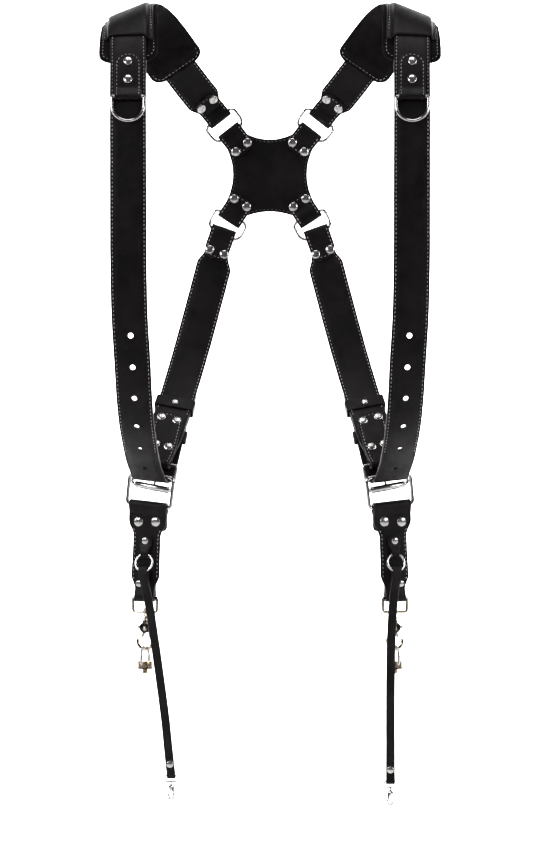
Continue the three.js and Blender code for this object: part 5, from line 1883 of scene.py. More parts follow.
@dataclass
class ChestTab(Part):
    """The arched tab on the chest and the D-ring in its fold."""

    width: float = 28 * MM
    thickness: float = 1.8 * MM
    top: float = 80 * MM
    length: float = 50 * MM
    ring_width: float = 33.2 * MM
    ring_height: float = 26.4 * MM
    ring_lean: float = 4.0

    def build(self) -> None:
        """Make the tab, its rivets and its ring."""
        lay, sizes = self.layout, self.layout.sizes
        back = sizes.strap_thickness / 2 + sizes.gap + self.thickness / 2
        front = back + self.thickness + sizes.gap
        bar_out = back + self.thickness / 2 + sizes.clearance + sizes.ring_wire
        rho = sizes.ring_wire + sizes.clearance + self.thickness / 2
        top, half = lay.crest + self.top, self.width / 2
        bar = top + self.length
        reach = sizes.fold_reach
        d = half * (1 - np.sin(np.linspace(0, math.pi / 2, 16)[::-1]))
        arch = np.sqrt(np.maximum(half**2 - (half - d) ** 2, (0.5 * MM) ** 2))
        plain = np.linspace(top + half, bar - reach, 12)[1:]
        close = np.linspace(1, 0, 8)[1:]
        a = np.linspace(0, math.pi, 17)
        s = [
            top + d,
            plain,
            bar - close * reach,
            bar + rho * np.sin(a),
            bar - close[::-1] * reach,
            np.linspace(bar - reach, bar - self.length + half, 8)[1:],
        ]
        lift = [
            np.full(len(d) + len(plain), front),
            front + (bar_out + rho - front) * smooth(1 - close),
            bar_out + rho * np.cos(a),
            back + (bar_out - rho - back) * smooth(1 - close[::-1]),
            np.full(7, back),
        ]
        s, lift = np.concatenate(s), np.concatenate(lift)
        halves = np.full(len(s), half)
        halves[: len(d)] = arch
        p, _ = lay.main.rail(s, 0.0, lift)
        _, w, _, _ = lay.main.sample(s)
        self.shop.piece(
            "chest_tab_leather",
            band(p, w, halves, self.thickness, Edge(dip=0.2 * MM)),
            Finish.LEATHER,
            ["chest_tab"],
        )
        inset = 2.4 * MM
        side = np.linspace(bar + 0.5 * MM, top + half, 16)
        turn = np.linspace(0, math.pi, 22)[1:-1]
        path_s = np.concatenate([side, top + half - (half - inset) * np.sin(turn), side[::-1]])
        path_u = np.concatenate([
            np.full(16, inset - half), -(half - inset) * np.cos(turn), np.full(16, half - inset),
        ])
        path_lift = front + self.thickness / 2 - 0.1 * MM + (bar_out + rho - front) * smooth(
            (path_s - bar + reach) / reach
        )
        self.work.sew(*lay.main.rail(path_s, path_u, path_lift))
        spots = lay.main.rail(top + self.length * np.array([0.21, 0.62]), 0.0, front + self.thickness / 2)
        self.work.rivets(spots)
        self.ring(bar, bar_out)

    def ring(self, bar: float, bar_out: float) -> None:
        """Make the D-ring.

        Args:
            bar: Distance of its bar along the strap.
            bar_out: The bar's distance outward from the strap's middle.
        """
        sizes = self.layout.sizes
        p, w, out, run = (a[0] for a in self.layout.main.sample(bar))
        pose = Pose.of(p + out * bar_out, w, -out, -run).turned("X", self.ring_lean)
        outline = ring_outline(self.ring_width, self.ring_height, 2.2 * MM, self.ring_width / 2, 24)
        self.shop.piece(
            "chest_ring_wire",
            flat_wire(outline, sizes.ring_wire).placed(pose),
            Finish.NICKEL,
            ["chest_ring"],
            "chest_ring_swing",
        )


@dataclass
class LowerStrap(Part):
    """The lower back strap, from the buckle up to the back ring, with its two keepers."""

    keeper_wall: float = 1.6 * MM
    keeper_length: float = 13 * MM
    keeper_room: float = 0.9 * MM
    upper_keeper: float = 72 * MM
    lower_keeper: float = 31 * MM

    def half_at(self, s: np.ndarray) -> np.ndarray:
        """Give the strap's half width at distances along its way.

        Args:
            s: Distances along the way.

        Returns:
            The half widths.
        """
        sizes = self.layout.sizes
        full = sizes.strap_width / 2
        narrow = sizes.fold_width / 2
        heel = narrow * sizes.heel_fold_share
        low = heel + (full - heel) * smooth(s / sizes.heel_widening)
        high = narrow + (full - narrow) * smooth((self.layout.lower.length - s - 8 * MM) / sizes.narrowing)
        return np.minimum(low, high)

    def build(self) -> None:
        """Make the strap and its keepers."""
        lay, t = self.layout, self.layout.sizes.lower_thickness
        way = lay.lower
        hp, hw, hh = lay.heel_fold.line()
        tp, tw, th = lay.top_fold.line()
        s = np.arange(1.5 * MM, way.length - 1.5 * MM, 2.4 * MM)
        p, w, _, _ = way.sample(s)
        shape = band(
            np.concatenate([hp, p, tp[::-1]]),
            np.concatenate([hw, w, tw[::-1]]),
            np.concatenate([hh, self.half_at(s), th[::-1]]),
            t,
        )
        self.shop.piece("lower_back_strap_leather", shape, Finish.LEATHER, ["lower_back_strap"])
        sewn = np.arange(60 * MM, way.length - 4 * MM, 2 * MM)
        self.work.sew_way(way, sewn, self.half_at(sewn), t)
        self.work.sew(*lay.heel_fold.seam(self.work.sewing.inset))
        self.work.sew(*lay.top_fold.seam(self.work.sewing.inset))
        tab, first = lay.sizes.buckle_tab, lay.sizes.buckle_rivet
        heel = [(tab - 8 * MM, -8.6 * MM), (tab - 8 * MM, 8.6 * MM), (first, -7 * MM), (first, 7 * MM)]
        self.work.rivets(lay.heel_fold.spots(heel))
        top = [(20 * MM, -8.2 * MM), (20 * MM, 8.2 * MM)]
        self.work.rivets(lay.top_fold.spots(top))
        self.work.rivets(lay.top_fold.far_spots(top))
        self.keepers()

    def keepers(self) -> None:
        """Make the keeper round both straps and the one round the free end."""
        sizes = self.layout.sizes
        free_inner = sizes.free_offset - sizes.strap_thickness / 2
        high = sizes.free_offset + sizes.strap_thickness / 2 + self.keeper_room
        low = -(sizes.lower_thickness / 2 + self.keeper_room)
        self.keeper("upper_keeper", self.upper_keeper, low, high)
        self.keeper("lower_keeper", self.lower_keeper, free_inner - 3 * sizes.gap, high + 0.5 * MM)
        p, _, out, _ = self.layout.lower.sample(self.upper_keeper)
        self.work.rivets((p + out * (low - self.keeper_wall), -out), 3.3 * MM)

    def keeper(self, name: str, s: float, low: float, high: float) -> None:
        """Make one keeper.

        Args:
            name: The keeper's name.
            s: Its distance along the lower strap.
            low: The inner side of its room.
            high: The outer side of its room.
        """
        p, w, out, run = (a[0] for a in self.layout.lower.sample(s))
        half = self.layout.sizes.strap_width / 2 + self.keeper_room
        wall, corner = self.keeper_wall, 1.6 * MM
        x = unit(np.cross(out, run))
        centre = p + out * (low + high) / 2
        outline = ring_outline(2 * half + wall, high - low + wall, corner, corner, 5)
        middle = outline + np.array([0.0, (high - low + wall) / 2])
        ahead = unit(np.roll(middle, -1, 0) - np.roll(middle, 1, 0))
        side = np.stack([ahead[:, 1], -ahead[:, 0]], -1)
        r = 0.5 * MM
        length = self.keeper_length / 2
        profile = [
            (-length, -wall / 2 + r), (-length + r, -wall / 2), (length - r, -wall / 2),
            (length, -wall / 2 + r), (length, wall / 2 - r), (length - r, wall / 2),
            (length * 0.5, wall / 2 + 0.12 * MM), (-length * 0.5, wall / 2 + 0.12 * MM),
            (-length + r, wall / 2), (-length, wall / 2 - r),
        ]
        off = np.array(profile)[:, 1, None, None]
        ahead_by = np.array(profile)[:, 0, None, None]
        flat = middle + side * off
        verts = centre + flat[..., :1] * x + flat[..., 1:] * out + ahead_by * np.cross(x, out)
        faces = grid_faces(len(profile), len(middle), True, True)
        rim = np.zeros(verts.shape[:2])
        rim[[0, 3, 4, 9]] = 1.0
        self.shop.piece(
            f"{name}_leather", Shape(verts.reshape(-1, 3), faces, rim.reshape(-1)), Finish.LEATHER, [name]
        )


@dataclass
class HipHardware(Part):
    """The buckle with its roller and prong, and the ring that carries the hanger."""

    roller_radius: float = 3.8 * MM
    roller_length: float = 39 * MM
    prong_radius: float = 1.5 * MM
    prong_eye: float = 4 * MM

    def build(self) -> None:
        """Make the buckle and the hip ring."""
        lay, sizes = self.layout, self.layout.sizes
        outline = ring_outline(sizes.buckle_width, sizes.buckle_height, 2.8 * MM, 2.8 * MM, 8)
        outline[:, 1] += sizes.buckle_height
        self.shop.piece(
            "buckle_frame_wire",
            flat_wire(outline, sizes.buckle_wire).placed(lay.buckle),
            Finish.NICKEL,
            ["buckle_frame"],
        )
        self.roller()
        self.prong()
        ring = ring_outline(sizes.hip_ring_width, sizes.hip_ring_height, 5 * MM, 4 * MM, 10)
        self.shop.piece(
            "hip_ring_wire",
            flat_wire(ring, sizes.hip_ring_wire).placed(lay.hip_ring),
            Finish.NICKEL,
            ["hip_ring"],
        )

    def roller(self) -> None:
        """Make the roller: a rolled tube with turned-in ends."""
        r, half = self.roller_radius, self.roller_length / 2
        bore = self.layout.sizes.buckle_wire + 0.35 * MM
        foot = [
            (bore, -half + 0.6 * MM), (r - 1.0 * MM, -half), (r - 0.3 * MM, -half + 0.15 * MM),
            (r, -half + 0.8 * MM),
        ]
        profile = [*foot, (r, 0.0), *flipped(foot), foot[0]]
        turned = lathe(profile, 36).swapped([2, 1, 0], 2)
        self.shop.piece(
            "buckle_roller_tube", turned.placed(self.layout.buckle), Finish.NICKEL, ["buckle_roller"]
        )

    def prong(self) -> None:
        """Make the prong, with its eye on the heel bar, behind the roller."""
        sizes = self.layout.sizes
        height, r = sizes.buckle_height, self.prong_radius
        bore = sizes.buckle_wire + 0.68 * MM
        root = sizes.buckle_wire + sizes.clearance + r
        tip = self.roller_radius + sizes.clearance + r
        rows = np.array([
            [0, root, height - 1 * MM],
            [0, root + 0.6 * MM, height * 0.7],
            [0, tip - 0.9 * MM, height * 0.3],
            [0, tip - 0.2 * MM, self.roller_radius * 0.8],
            [0, tip - 0.1 * MM, -self.roller_radius * 0.7],
            [0, tip - 1.2 * MM, -self.roller_radius - 1.2 * MM],
        ])
        line = catmull(rows, 8, False)
        radius = r * np.interp(np.arange(len(line)), [0, len(line) - 8, len(line) - 1], [1.0, 1.0, 0.45])
        shank = wire(line, radius, vec(1, 0, 0), False)
        half = self.prong_eye / 2
        outer = bore + 1.4 * MM
        foot = [(bore, -half), (outer - 0.3 * MM, -half), (outer, -half + 0.3 * MM)]
        profile = [*foot, *flipped(foot), foot[0]]
        turned = lathe(profile, 24).swapped([2, 1, 0], 2).moved(0, 0, height)
        self.shop.piece(
            "buckle_prong_steel",
            Shape.joined([shank, turned]).placed(self.layout.buckle),
            Finish.NICKEL,
            ["buckle_prong"],
        )


@dataclass
class Hanger(Part):
    """The leather hanger under the hip ring, its strip with the round ring, and the hook ring."""

    thickness: float = 2.8 * MM
    width: float = 42 * MM
    waist: float = 30.5 * MM
    length: float = 95.8 * MM
    lean: float = 4 * MM
    foot_width: float = 22.4 * MM
    top_tab: float = 25 * MM
    foot_tab: float = 20 * MM
    strip_width: float = 13.4 * MM
    strip_thickness: float = 1.6 * MM
    strip_top: float = 30 * MM
    strip_length: float = 20.4 * MM
    ring_radius: float = 9.2 * MM
    ring_wire: float = 1.15 * MM
    ring_lean: float = 14.0
    hook_ring_wire: float = 1.6 * MM
    hook_ring_width: float = 26.8 * MM
    hook_ring_height: float = 15.8 * MM

    def __post_init__(self) -> None:
        """Work out the hanger's bars and directions."""
        sizes, yaw = self.layout.sizes, self.layout.torso.hip_yaw
        self.top_bar = self.layout.hip_ring.point(0, 0, -sizes.hip_ring_height)
        self.top_w = self.layout.hip.axis(0)
        self.level = width_direction(-yaw, 0)
        foot = self.top_bar - self.level * self.lean
        foot[2] = self.top_bar[2] - self.length
        self.foot_bar = foot
        self.run = unit(foot - self.top_bar)
        self.face = vec(-math.sin(math.radians(yaw)), -math.cos(math.radians(yaw)), 0)
        front = (self.thickness + sizes.gap) / 2 + self.thickness / 2
        self.strip_middle = front + sizes.gap + self.strip_thickness + sizes.gap / 2
        strip_face = front + sizes.gap + self.strip_thickness
        self.strip_out = strip_face + sizes.clearance + self.ring_wire + 0.05 * MM
        self.strip_bar = self.top_bar + self.run * (
            self.strip_top + self.strip_length
        ) + self.face * self.strip_out
        self.round_ring = Pose.along_bar(self.strip_bar, self.level).turned("X", -self.ring_lean)
        self.hook_ring = Pose.along_bar(self.foot_bar, self.level)

    def build(self) -> None:
        """Make the hanger, the strip and their rings."""
        self.leather()
        self.strip()
        outline = ring_outline(
            2 * self.ring_radius, 2 * self.ring_radius, self.ring_radius, self.ring_radius, 16
        )
        self.shop.piece(
            "round_ring_wire",
            flat_wire(outline, self.ring_wire).placed(self.round_ring),
            Finish.NICKEL,
            ["round_ring"],
        )
        hook = ring_outline(self.hook_ring_width, self.hook_ring_height, 2.4 * MM, 2.6 * MM, 8)
        self.shop.piece(
            "hook_ring_wire",
            flat_wire(hook, self.hook_ring_wire).placed(self.hook_ring),
            Finish.HOOK_NICKEL,
            ["hook_ring"],
            "hook_link",
        )

    def leather(self) -> None:
        """Make the hanger's leather."""
        t = self.thickness
        sizes = self.layout.sizes
        top = Fold(
            self.top_bar, self.run, -self.face, self.top_w, sizes.hip_ring_wire, t, self.top_tab,
            self.width / 2, sag=0.5 * MM, arch=0.25,
        )
        foot = Fold(
            self.foot_bar, -self.run, -self.face, self.level, self.hook_ring_wire, t, self.foot_tab,
            self.foot_width / 2, sag=0.5 * MM, arch=0.4,
        )
        share = np.array([
            0.12, 0.18, 0.21, 0.225, 0.245, 0.265, 0.29, 0.32, 0.4, 0.5, 0.6, 0.7, 0.78, 0.82, 0.86, 0.875,
        ])
        w0, ww, wf = self.width / 2, self.waist / 2, self.foot_width / 2
        half = np.interp(
            share,
            [0.0, 0.19, 0.205, 0.285, 0.31, 0.55, 0.78, 0.885],
            [w0, w0, w0 - 0.4 * MM, ww + 0.5 * MM, ww, ww, ww + 0.6 * MM, wf + 0.2 * MM],
        )
        fine = np.linspace(share[0], share[-1], 60)
        half = np.interp(fine, share, half)
        kernel = np.ones(5) / 5
        half[2:-2] = np.convolve(half, kernel, "valid")
        p = self.top_bar + self.run * (fine * self.length)[:, None] + self.face * top.lie
        w = unit(self.top_w * (1 - fine[:, None]) + self.level * fine[:, None])
        tp, tw, th = top.line()
        fp, fw, fh = foot.line()
        shape = band(
            np.concatenate([tp, p, fp[::-1]]),
            np.concatenate([tw, w, fw[::-1]]),
            np.concatenate([th, half, fh[::-1]]),
            t,
        )
        self.shop.piece("hanger_leather", shape, Finish.LEATHER, ["hanger"])
        for side in (-1.0, 1.0):
            u = side * (half - self.work.sewing.inset)
            line = p + w * u[:, None] + self.face * (t / 2 - 0.12 * MM)
            sewn = slice(10, -5)
            self.work.sew(line[sewn], np.tile(self.face, (len(line[sewn]), 1)))
        front = self.top_bar + self.face * (top.lie + t / 2)
        big = np.array([front + self.run * 16.5 * MM + self.level * a for a in (-9.6 * MM, 9.6 * MM)])
        self.work.rivets((big, np.tile(self.face, (2, 1))), 5.0 * MM)
        small = front + self.run * (self.length - 14 * MM) - self.level * 6.5 * MM
        self.work.rivets((small[None], self.face[None]), 3.4 * MM)
        rear = self.top_bar - self.face * (top.lie + t / 2)
        back = np.array([rear + self.run * 16.5 * MM + self.level * a for a in (-9.6 * MM, 9.6 * MM)])
        self.work.rivets((back, np.tile(-self.face, (2, 1))), 4.4 * MM)

    def strip(self) -> None:
        """Make the short strip that holds the round ring."""
        t, length = self.strip_thickness, self.strip_length
        fold = Fold(
            self.strip_bar, -self.run, self.face, self.level, self.ring_wire, t, length,
            self.strip_width / 2, sag=1.3 * MM, shift=self.strip_middle - self.strip_out, arch=0.95,
        )
        p, w, half = fold.line()
        up = (p - self.strip_bar) @ -self.run
        narrow = self.strip_width * (0.3 + 0.2 * smooth((up - 3 * MM) / (8 * MM)))
        half = np.minimum(half, narrow)
        rest = np.linspace(1.5 * MM, length - fold.reach - 3 * MM, 5)
        tail = p[-1] - self.run * rest[:, None]
        p2 = np.concatenate([p, tail])
        half = np.concatenate([half, np.full(len(rest), self.strip_width / 2)])
        half[len(p) - 6 : len(p)] = self.strip_width * (0.3 + 0.2 * smooth((up[-6:] - 3 * MM) / (8 * MM)))
        shape = band(
            p2,
            np.broadcast_to(self.level, p2.shape).copy(),
            half,
            t,
            Edge(channel=1.6 * MM, channel_half=0.5 * MM, dip=0.1 * MM),
        )
        self.shop.piece("ring_strip_leather", shape, Finish.LEATHER, ["ring_strip"])
        self.work.rivets(fold.spots([(length * 0.68, 0.0)]), 3.6 * MM)


@dataclass(frozen=True)
class HookPlan:
    """A snap hook seen from the front, as shares of its length."""

    collar_top: float = 0.2
    collar_foot: float = 0.29
    cheek: float = 0.048
    slot_top: float = 0.345
    pivot_across: float = 0.024
    pivot_down: float = 0.418
    loop_down: float = 0.747
    loop_radius: float = 0.2
    claw_radius: float = 0.05
    post_radius: float = 0.037
    neck_radius: float = 0.075
    lever_half: float = 0.029


# Outlines of a hook's pieces, as shares of its length: across and down for the lever, across
# and up for the cheeks, the back between them, the head over them and the claw's root.

LEVER = (
    (-0.19, 0.35), (-0.15, 0.36), (-0.005, 0.37), (0.045, 0.37), (0.078, 0.4), (0.076, 0.442),
    (0.038, 0.475), (-0.048, 0.66), (-0.104, 0.645), (-0.06, 0.5), (-0.085, 0.437), (-0.19, 0.42),
    (-0.218, 0.385),
)
CHEEK = (
    (-0.075, -0.28), (-0.133, -0.34), (-0.133, -0.445), (-0.05985, -0.535),
    (0.0725, -0.535), (0.145, -0.485), (0.145, -0.34), (0.075, -0.28),
)
BACK = ((0.106, -0.29), (0.106, -0.525), (0.141, -0.485), (0.141, -0.34))
HEAD = (
    (-0.123, -0.343), (0.135, -0.343), (0.125, -0.32), (0.075, -0.275), (-0.075, -0.275), (-0.113, -0.32)
)
LEAD = ((0.118, -0.40), (0.128, -0.47), (0.138, -0.53))


def rounded(outline: np.ndarray, cuts: int = 2) -> np.ndarray:
    """Round an outline's corners by cutting each one again and again."""
    for _ in range(cuts):
        ahead = np.roll(outline, -1, 0)
        outline = np.stack([0.78 * outline + 0.22 * ahead, 0.22 * outline + 0.78 * ahead], 1).reshape(-1, 2)
    return outline


@dataclass
class SnapHook:
    """A swivelling lever snap hook.

    Attributes:
        length: Its length, which the plan's shares are of.
        clearance: Room between its moving pieces.
        across: Width of its eye, middle to middle of the wire.
        tall: Height of its eye.
        corner: Corner radius of its eye.
        eye_wire: Radius of its eye's wire.
        rise: The eye's top above the hook's origin.
        edge_on: Whether the eye is turned edge on.
        dark_cheeks: Whether its cheeks are a piece of their own, to be coloured near black as painted shade
            and painted dark reflection.
        plan: Its shape.
    """

    length: float
    clearance: float
    across: float
    tall: float
    corner: float
    eye_wire: float
    rise: float
    edge_on: bool
    dark_cheeks: bool = False
    plan: HookPlan = HookPlan()

    @property
    def floor(self) -> float:
        """Height of the claw's inner floor."""
        plan = self.plan
        return -(plan.loop_down + plan.loop_radius - plan.claw_radius) * self.length

    def eye(self) -> Shape:
        """Make the eye with its turned post.

        Returns:
            The eye and its post.
        """
        plan, size = self.plan, self.length
        outline = ring_outline(self.across, self.tall, self.corner, self.corner, 12)
        outline[:, 1] += self.rise
        loop = flat_wire(outline, self.eye_wire)
        if self.edge_on:
            loop = loop.swapped([1, 0, 2], 0)
        foot = self.rise - self.tall
        top = foot - self.eye_wire * 0.2
        flange = -plan.collar_top * size + self.clearance
        neck, post = plan.neck_radius * size, plan.post_radius * size
        profile = [
            (0.0, -plan.slot_top * size + self.clearance),
            (post * 1.5, -plan.slot_top * size + self.clearance),
            (post * 1.5, -plan.collar_foot * size - self.clearance),
            (post, -plan.collar_foot * size - self.clearance),
            (post, flange), (neck * 0.96, flange), (neck, flange + 0.1 * neck), (neck, flange + 0.3 * neck),
            (neck * 0.9, flange + 0.42 * neck), (post * 1.35, flange + 0.75 * neck),
            (post * 1.25, top), (0.0, top),
        ]
        return Shape.joined([loop, lathe(profile, 24)])

    def body(self) -> Shape:
        """Make the body: collar, two cheeks, back and claw. Cheeks that take painted shade are left out and
        kept apart in self.cheeks.

        Returns:
            The body.
        """
        plan, size = self.plan, self.length
        slot = plan.lever_half * size + self.clearance
        outer = (plan.lever_half + plan.cheek) * size + self.clearance
        thick, shift = outer - slot, (outer + slot) / 2
        cheek = plate(rounded(np.array(CHEEK) * size, 3), thick, thick * 0.42)
        self.cheeks = Shape.joined([cheek.moved(0, side * shift, 0) for side in (-1, 1)])
        # Cheeks coloured near black as painted shade and painted dark reflection are left out here and
        # become a piece of their own.
        plates = [] if self.dark_cheeks else [self.cheeks]
        for outline, edge in ((BACK, 0.15), (HEAD, 0.3)):
            plates.append(plate(rounded(np.array(outline) * size, 1), 2 * outer - 0.4 * thick, edge * thick))
        collar_r, bore = plan.neck_radius * size * 1.08, plan.post_radius * size + self.clearance * 0.5
        top, foot = -plan.collar_top * size, -plan.collar_foot * size - 0.02 * size
        collar = lathe(
            [
                (bore, foot), (collar_r * 1.05, foot), (collar_r, foot + 0.03 * size),
                (collar_r * 0.94, (top + foot) / 2), (collar_r, top - 0.014 * size),
                (collar_r * 0.95, top - 0.003 * size), (collar_r * 0.85, top), (bore, top), (bore, foot),
            ],
            24,
        )
        claw = plan.claw_radius * size
        sweep = arc(0.0, -plan.loop_down * size, plan.loop_radius * size, 42, -208, 40)
        line = catmull(np.concatenate([np.array(LEAD) * size, sweep[::4]]), 5, False)
        share = np.linspace(0, 1, len(line))
        radius = claw * np.interp(share, [0, 0.3, 0.6, 0.9, 0.97, 1.0], [1.15, 1.05, 1.0, 0.85, 0.7, 0.35])
        return Shape.joined([*plates, collar, flat_wire(line, radius, False)])

    def pin(self) -> Shape:
        """Make the lever's rivet, with a domed head on each cheek.

        Returns:
            The rivet.
        """
        plan, size = self.plan, self.length
        outer = (plan.lever_half + plan.cheek) * size + self.clearance
        r = 0.052 * size
        foot = [
            (0.0, -outer - 0.5 * r), (r * 0.6, -outer - 0.38 * r), (r, -outer - 0.02 * r),
            (r, -outer + 0.2 * r), (r * 0.5, -outer + 0.2 * r),
        ]
        profile = [*foot, *flipped(foot)]
        shape = lathe(profile, 24).swapped([0, 2, 1], 2)
        return shape.moved(plan.pivot_across * size, 0, -plan.pivot_down * size)

    def lever(self) -> Shape:
        """Make the lever with its thumb piece, in place in the hook.

        Returns:
            The lever.
        """
        plan, size = self.plan, self.length
        outline = rounded(np.array([(a, -b) for a, b in LEVER])[::-1] * size, 2)
        leaf = plate(outline, 2 * plan.lever_half * size, 0.35 * plan.lever_half * size)
        r = 0.036 * size
        ball = lathe(
            [
                (r * math.sin(a), -1.25 * r * math.cos(a))
                for a in np.radians([8, 30, 55, 80, 100, 125, 150, 172])
            ],
            18,
        )
        thumb = ball.swapped([0, 2, 1], 2).moved(-0.187 * size, 0, -0.385 * size)
        return Shape.joined([leaf, thumb])


@dataclass
class ScrewConnector:
    """The turned drum with its wire bail, rubber washer and camera screw."""

    drum_radius: float = 8.2 * MM
    drum_height: float = 7 * MM
    washer: float = 1.6 * MM
    screw_radius: float = 3.175 * MM
    screw_length: float = 5 * MM
    bail_wire: float = 1.4 * MM
    bail_half: float = 12.4 * MM
    bail_reach: float = 19.6 * MM
    pin_depth: float = 2.6 * MM

    def bail(self) -> Shape:
        """Make the bail: a wire arch whose ends turn into the drum.

        Returns:
            The bail.
        """
        r = self.bail_half
        straight = self.bail_reach - r
        end = self.drum_radius - self.pin_depth
        corner = 2.6 * MM
        left = np.array([[-end, 0.0], [-(end + r) / 2 + 0.5 * MM, 0.0]])
        bend = arc(-r + corner, corner, corner, -90, -180, 6)
        top = arc(0, straight, r, 180, 0, 36)
        other = np.concatenate([bend[::-1], left[::-1]]) * np.array([-1.0, 1.0])
        line = np.concatenate([left, bend, top, other])
        return flat_wire(line, self.bail_wire, False).swapped([1, 0, 2], 0)

    def drum(self) -> Shape:
        """Make the drum and its screw, with cut threads.

        Returns:
            The drum and its screw.
        """
        half, r = self.drum_height / 2, self.drum_radius
        e = 0.5 * MM
        body = lathe([
            (0.0, -half), (r - 0.3 * MM, -half), (r, -half + 0.3 * MM), (r, -half + 1.2 * MM),
            (r - 0.12 * MM, -half + 1.3 * MM),
            (r, -half + 1.4 * MM), (r, half - e), (r - e * 0.3, half - e * 0.3), (r - e, half),
            (r - e - 0.5 * MM, half), (r * 0.5, half), (0.0, half),
        ], 64)
        s, end = self.screw_radius, -half - self.washer - self.screw_length
        pitch = 1.27 * MM
        profile = [(0.0, end), (s * 0.72, end), (s * 0.86, end + 0.35 * MM)]
        z = end + 0.5 * MM
        while z < -half - 0.4 * MM:
            profile += [
                (s * 0.84, z), (s, z + pitch * 0.45), (s, z + pitch * 0.55), (s * 0.84, z + pitch * 0.98)
            ]
            z += pitch
        profile += [(s * 0.84, -half + 0.2 * MM), (0.0, -half + 0.2 * MM)]
        return Shape.joined([body, lathe(profile, 32)])

    def ring(self) -> Shape:
        """Make the rubber washer.

        Returns:
            The washer.
        """
        top, foot = -self.drum_height / 2 - 0.3 * MM, -self.drum_height / 2 - self.washer
        hole, r = self.screw_radius + 0.4 * MM, self.drum_radius
        return lathe(
            [
                (hole, foot), (r - 0.5 * MM, foot), (r - 0.12 * MM, foot + 0.15 * MM), (r, foot + 0.5 * MM),
                (r, top), (hole, top), (hole, foot),
            ],
            48,
        )


@dataclass(frozen=True)
class TetherRow:
    """A point of a tether's way, from the round ring's foot."""

    across: float
    out: float
    down: float


class TetherHang(Enum):
    """How each side's tether hangs: towards the middle on the left, nearly straight on the right."""

    LEFT = (
        TetherRow(0.9, 1.2, 9), TetherRow(5.2, 5, 30), TetherRow(12, 11, 72), TetherRow(18, 14, 114),
        TetherRow(23.5, 16, 156), TetherRow(26.8, 17, 188), TetherRow(29.6, 17.6, 214),
    )
    RIGHT = (
        TetherRow(0.9, 1.2, 9), TetherRow(3.4, 5, 30), TetherRow(6, 11, 72), TetherRow(6.8, 14, 114),
        TetherRow(7, 16, 156), TetherRow(7, 17, 188), TetherRow(7, 17.6, 220),
    )


@dataclass
class Tether(Part):
    """The safety tether, its small hook and its split ring."""

    hanger: Hanger
    hang: TetherHang
    width: float = 9.5 * MM
    thickness: float = 1.8 * MM
    tab: float = 17 * MM
    eye_wire: float = 0.9 * MM
    hook_length: float = 21.4 * MM
    eye_tall: float = 6.2 * MM
    hook_yaw: float = -48.0
    ring_radius: float = 5.4 * MM
    ring_wire: float = 0.75 * MM

    def build(self) -> None:
        """Make the tether and what hangs on it."""
        hanger, t = self.hanger, self.thickness
        bar = hanger.round_ring.point(0, 0, -2 * hanger.ring_radius)
        points = np.array([bar + vec(r.across, -r.out, -r.down) * MM for r in self.hang.value])
        level = hanger.level
        first = unit(points[0] - bar)
        half = self.width / 2
        top = Fold(
            bar, first, unit(np.cross(level, first)), level, hanger.ring_wire, t, self.tab, half,
            sag=2.4 * MM, arch=0.8,
        )
        end = points[-1]
        last = unit(points[-2] - end)
        foot_w = vec(1, 0, 0)
        foot = Fold(end, last, TOWARDS_BODY, foot_w, self.eye_wire, t, self.tab, half, arch=0.8)
        tp, tw, th = top.line()
        fp, fw, fh = foot.line()
        middle_w = unit(level * 0.4 + foot_w * 0.6)
        way = Way(
            np.concatenate([tp[-1:], points[1:-1], fp[-1:]]),
            np.concatenate([tw[-1:], np.tile(middle_w, (len(points) - 2, 1)), fw[-1:]]),
        )
        s = np.arange(1.5 * MM, way.length - 1.5 * MM, 2.2 * MM)
        p, w, _, _ = way.sample(s)
        shape = band(
            np.concatenate([tp, p, fp[::-1]]), np.concatenate([tw, w, fw[::-1]]),
            np.concatenate([th, np.full(len(s), half), fh[::-1]]), t, Edge(
                channel=1.5 * MM, channel_half=0.45 * MM, dip=0.07 * MM
            ),
        )
        self.shop.piece("tether_leather", shape, Finish.TETHER_LEATHER, ["tether"])
        self.work.rivets(top.spots([(self.tab - 6 * MM, 0.0)]), 3.7 * MM)
        self.work.rivets(foot.spots([(self.tab - 5 * MM, 0.0)]), 3.7 * MM)
        self.work.rivets(foot.far_spots([(self.tab - 5 * MM, 0.0)]), 3.4 * MM)
        self.hook(end, foot_w)

    def hook(self, end: np.ndarray, across: np.ndarray) -> None:
        """Make the small hook and the split ring.

        Args:
            end: The middle of the tether's last fold.
            across: The direction across it.
        """
        rise = self.eye_tall - 0.087 * self.hook_length
        hook = SnapHook(
            self.hook_length, 0.4 * MM, 13 * MM, self.eye_tall, 1.6 * MM, self.eye_wire, rise, False
        )
        pose = Pose.along_bar(end, across).moved(0, 0, -rise)
        turned = pose.turned("Z", self.hook_yaw)
        self.shop.piece("tether_eye_metal", hook.eye().placed(pose), Finish.NICKEL, ["tether_hook_eye"])
        body = Shape.joined([hook.body(), hook.pin()])
        self.shop.piece(
            "tether_hook_metal", body.placed(turned), Finish.NICKEL, ["tether_hook_body"], "tether_hook"
        )
        self.shop.piece(
            "tether_gate_metal",
            hook.lever().placed(turned),
            Finish.NICKEL,
            ["tether_hook_lever"],
            "tether_gate",
        )
        floor = hook.floor + 0.4 * MM + self.ring_wire
        place = turned.moved(0, 0, floor).turned("Z", 90)
        self.shop.piece(
            "split_ring_wire", self.split_ring().placed(place), Finish.NICKEL, ["split_ring"], "tether_hook"
        )

    def split_ring(self) -> Shape:
        """Make the split ring: two flat coils side by side with an offset end.

        Returns:
            The ring.
        """
        r = self.ring_radius
        a = np.radians(np.linspace(0, 360, 64, endpoint=False))
        shapes = []
        for side in (-0.5, 0.5):
            points = np.stack([r * np.cos(a), np.full(64, side * self.ring_wire), r * np.sin(a) - r], -1)
            shapes.append(wire(points, self.ring_wire * 0.52, vec(0, 1, 0), True, 10))
        return Shape.joined(shapes)


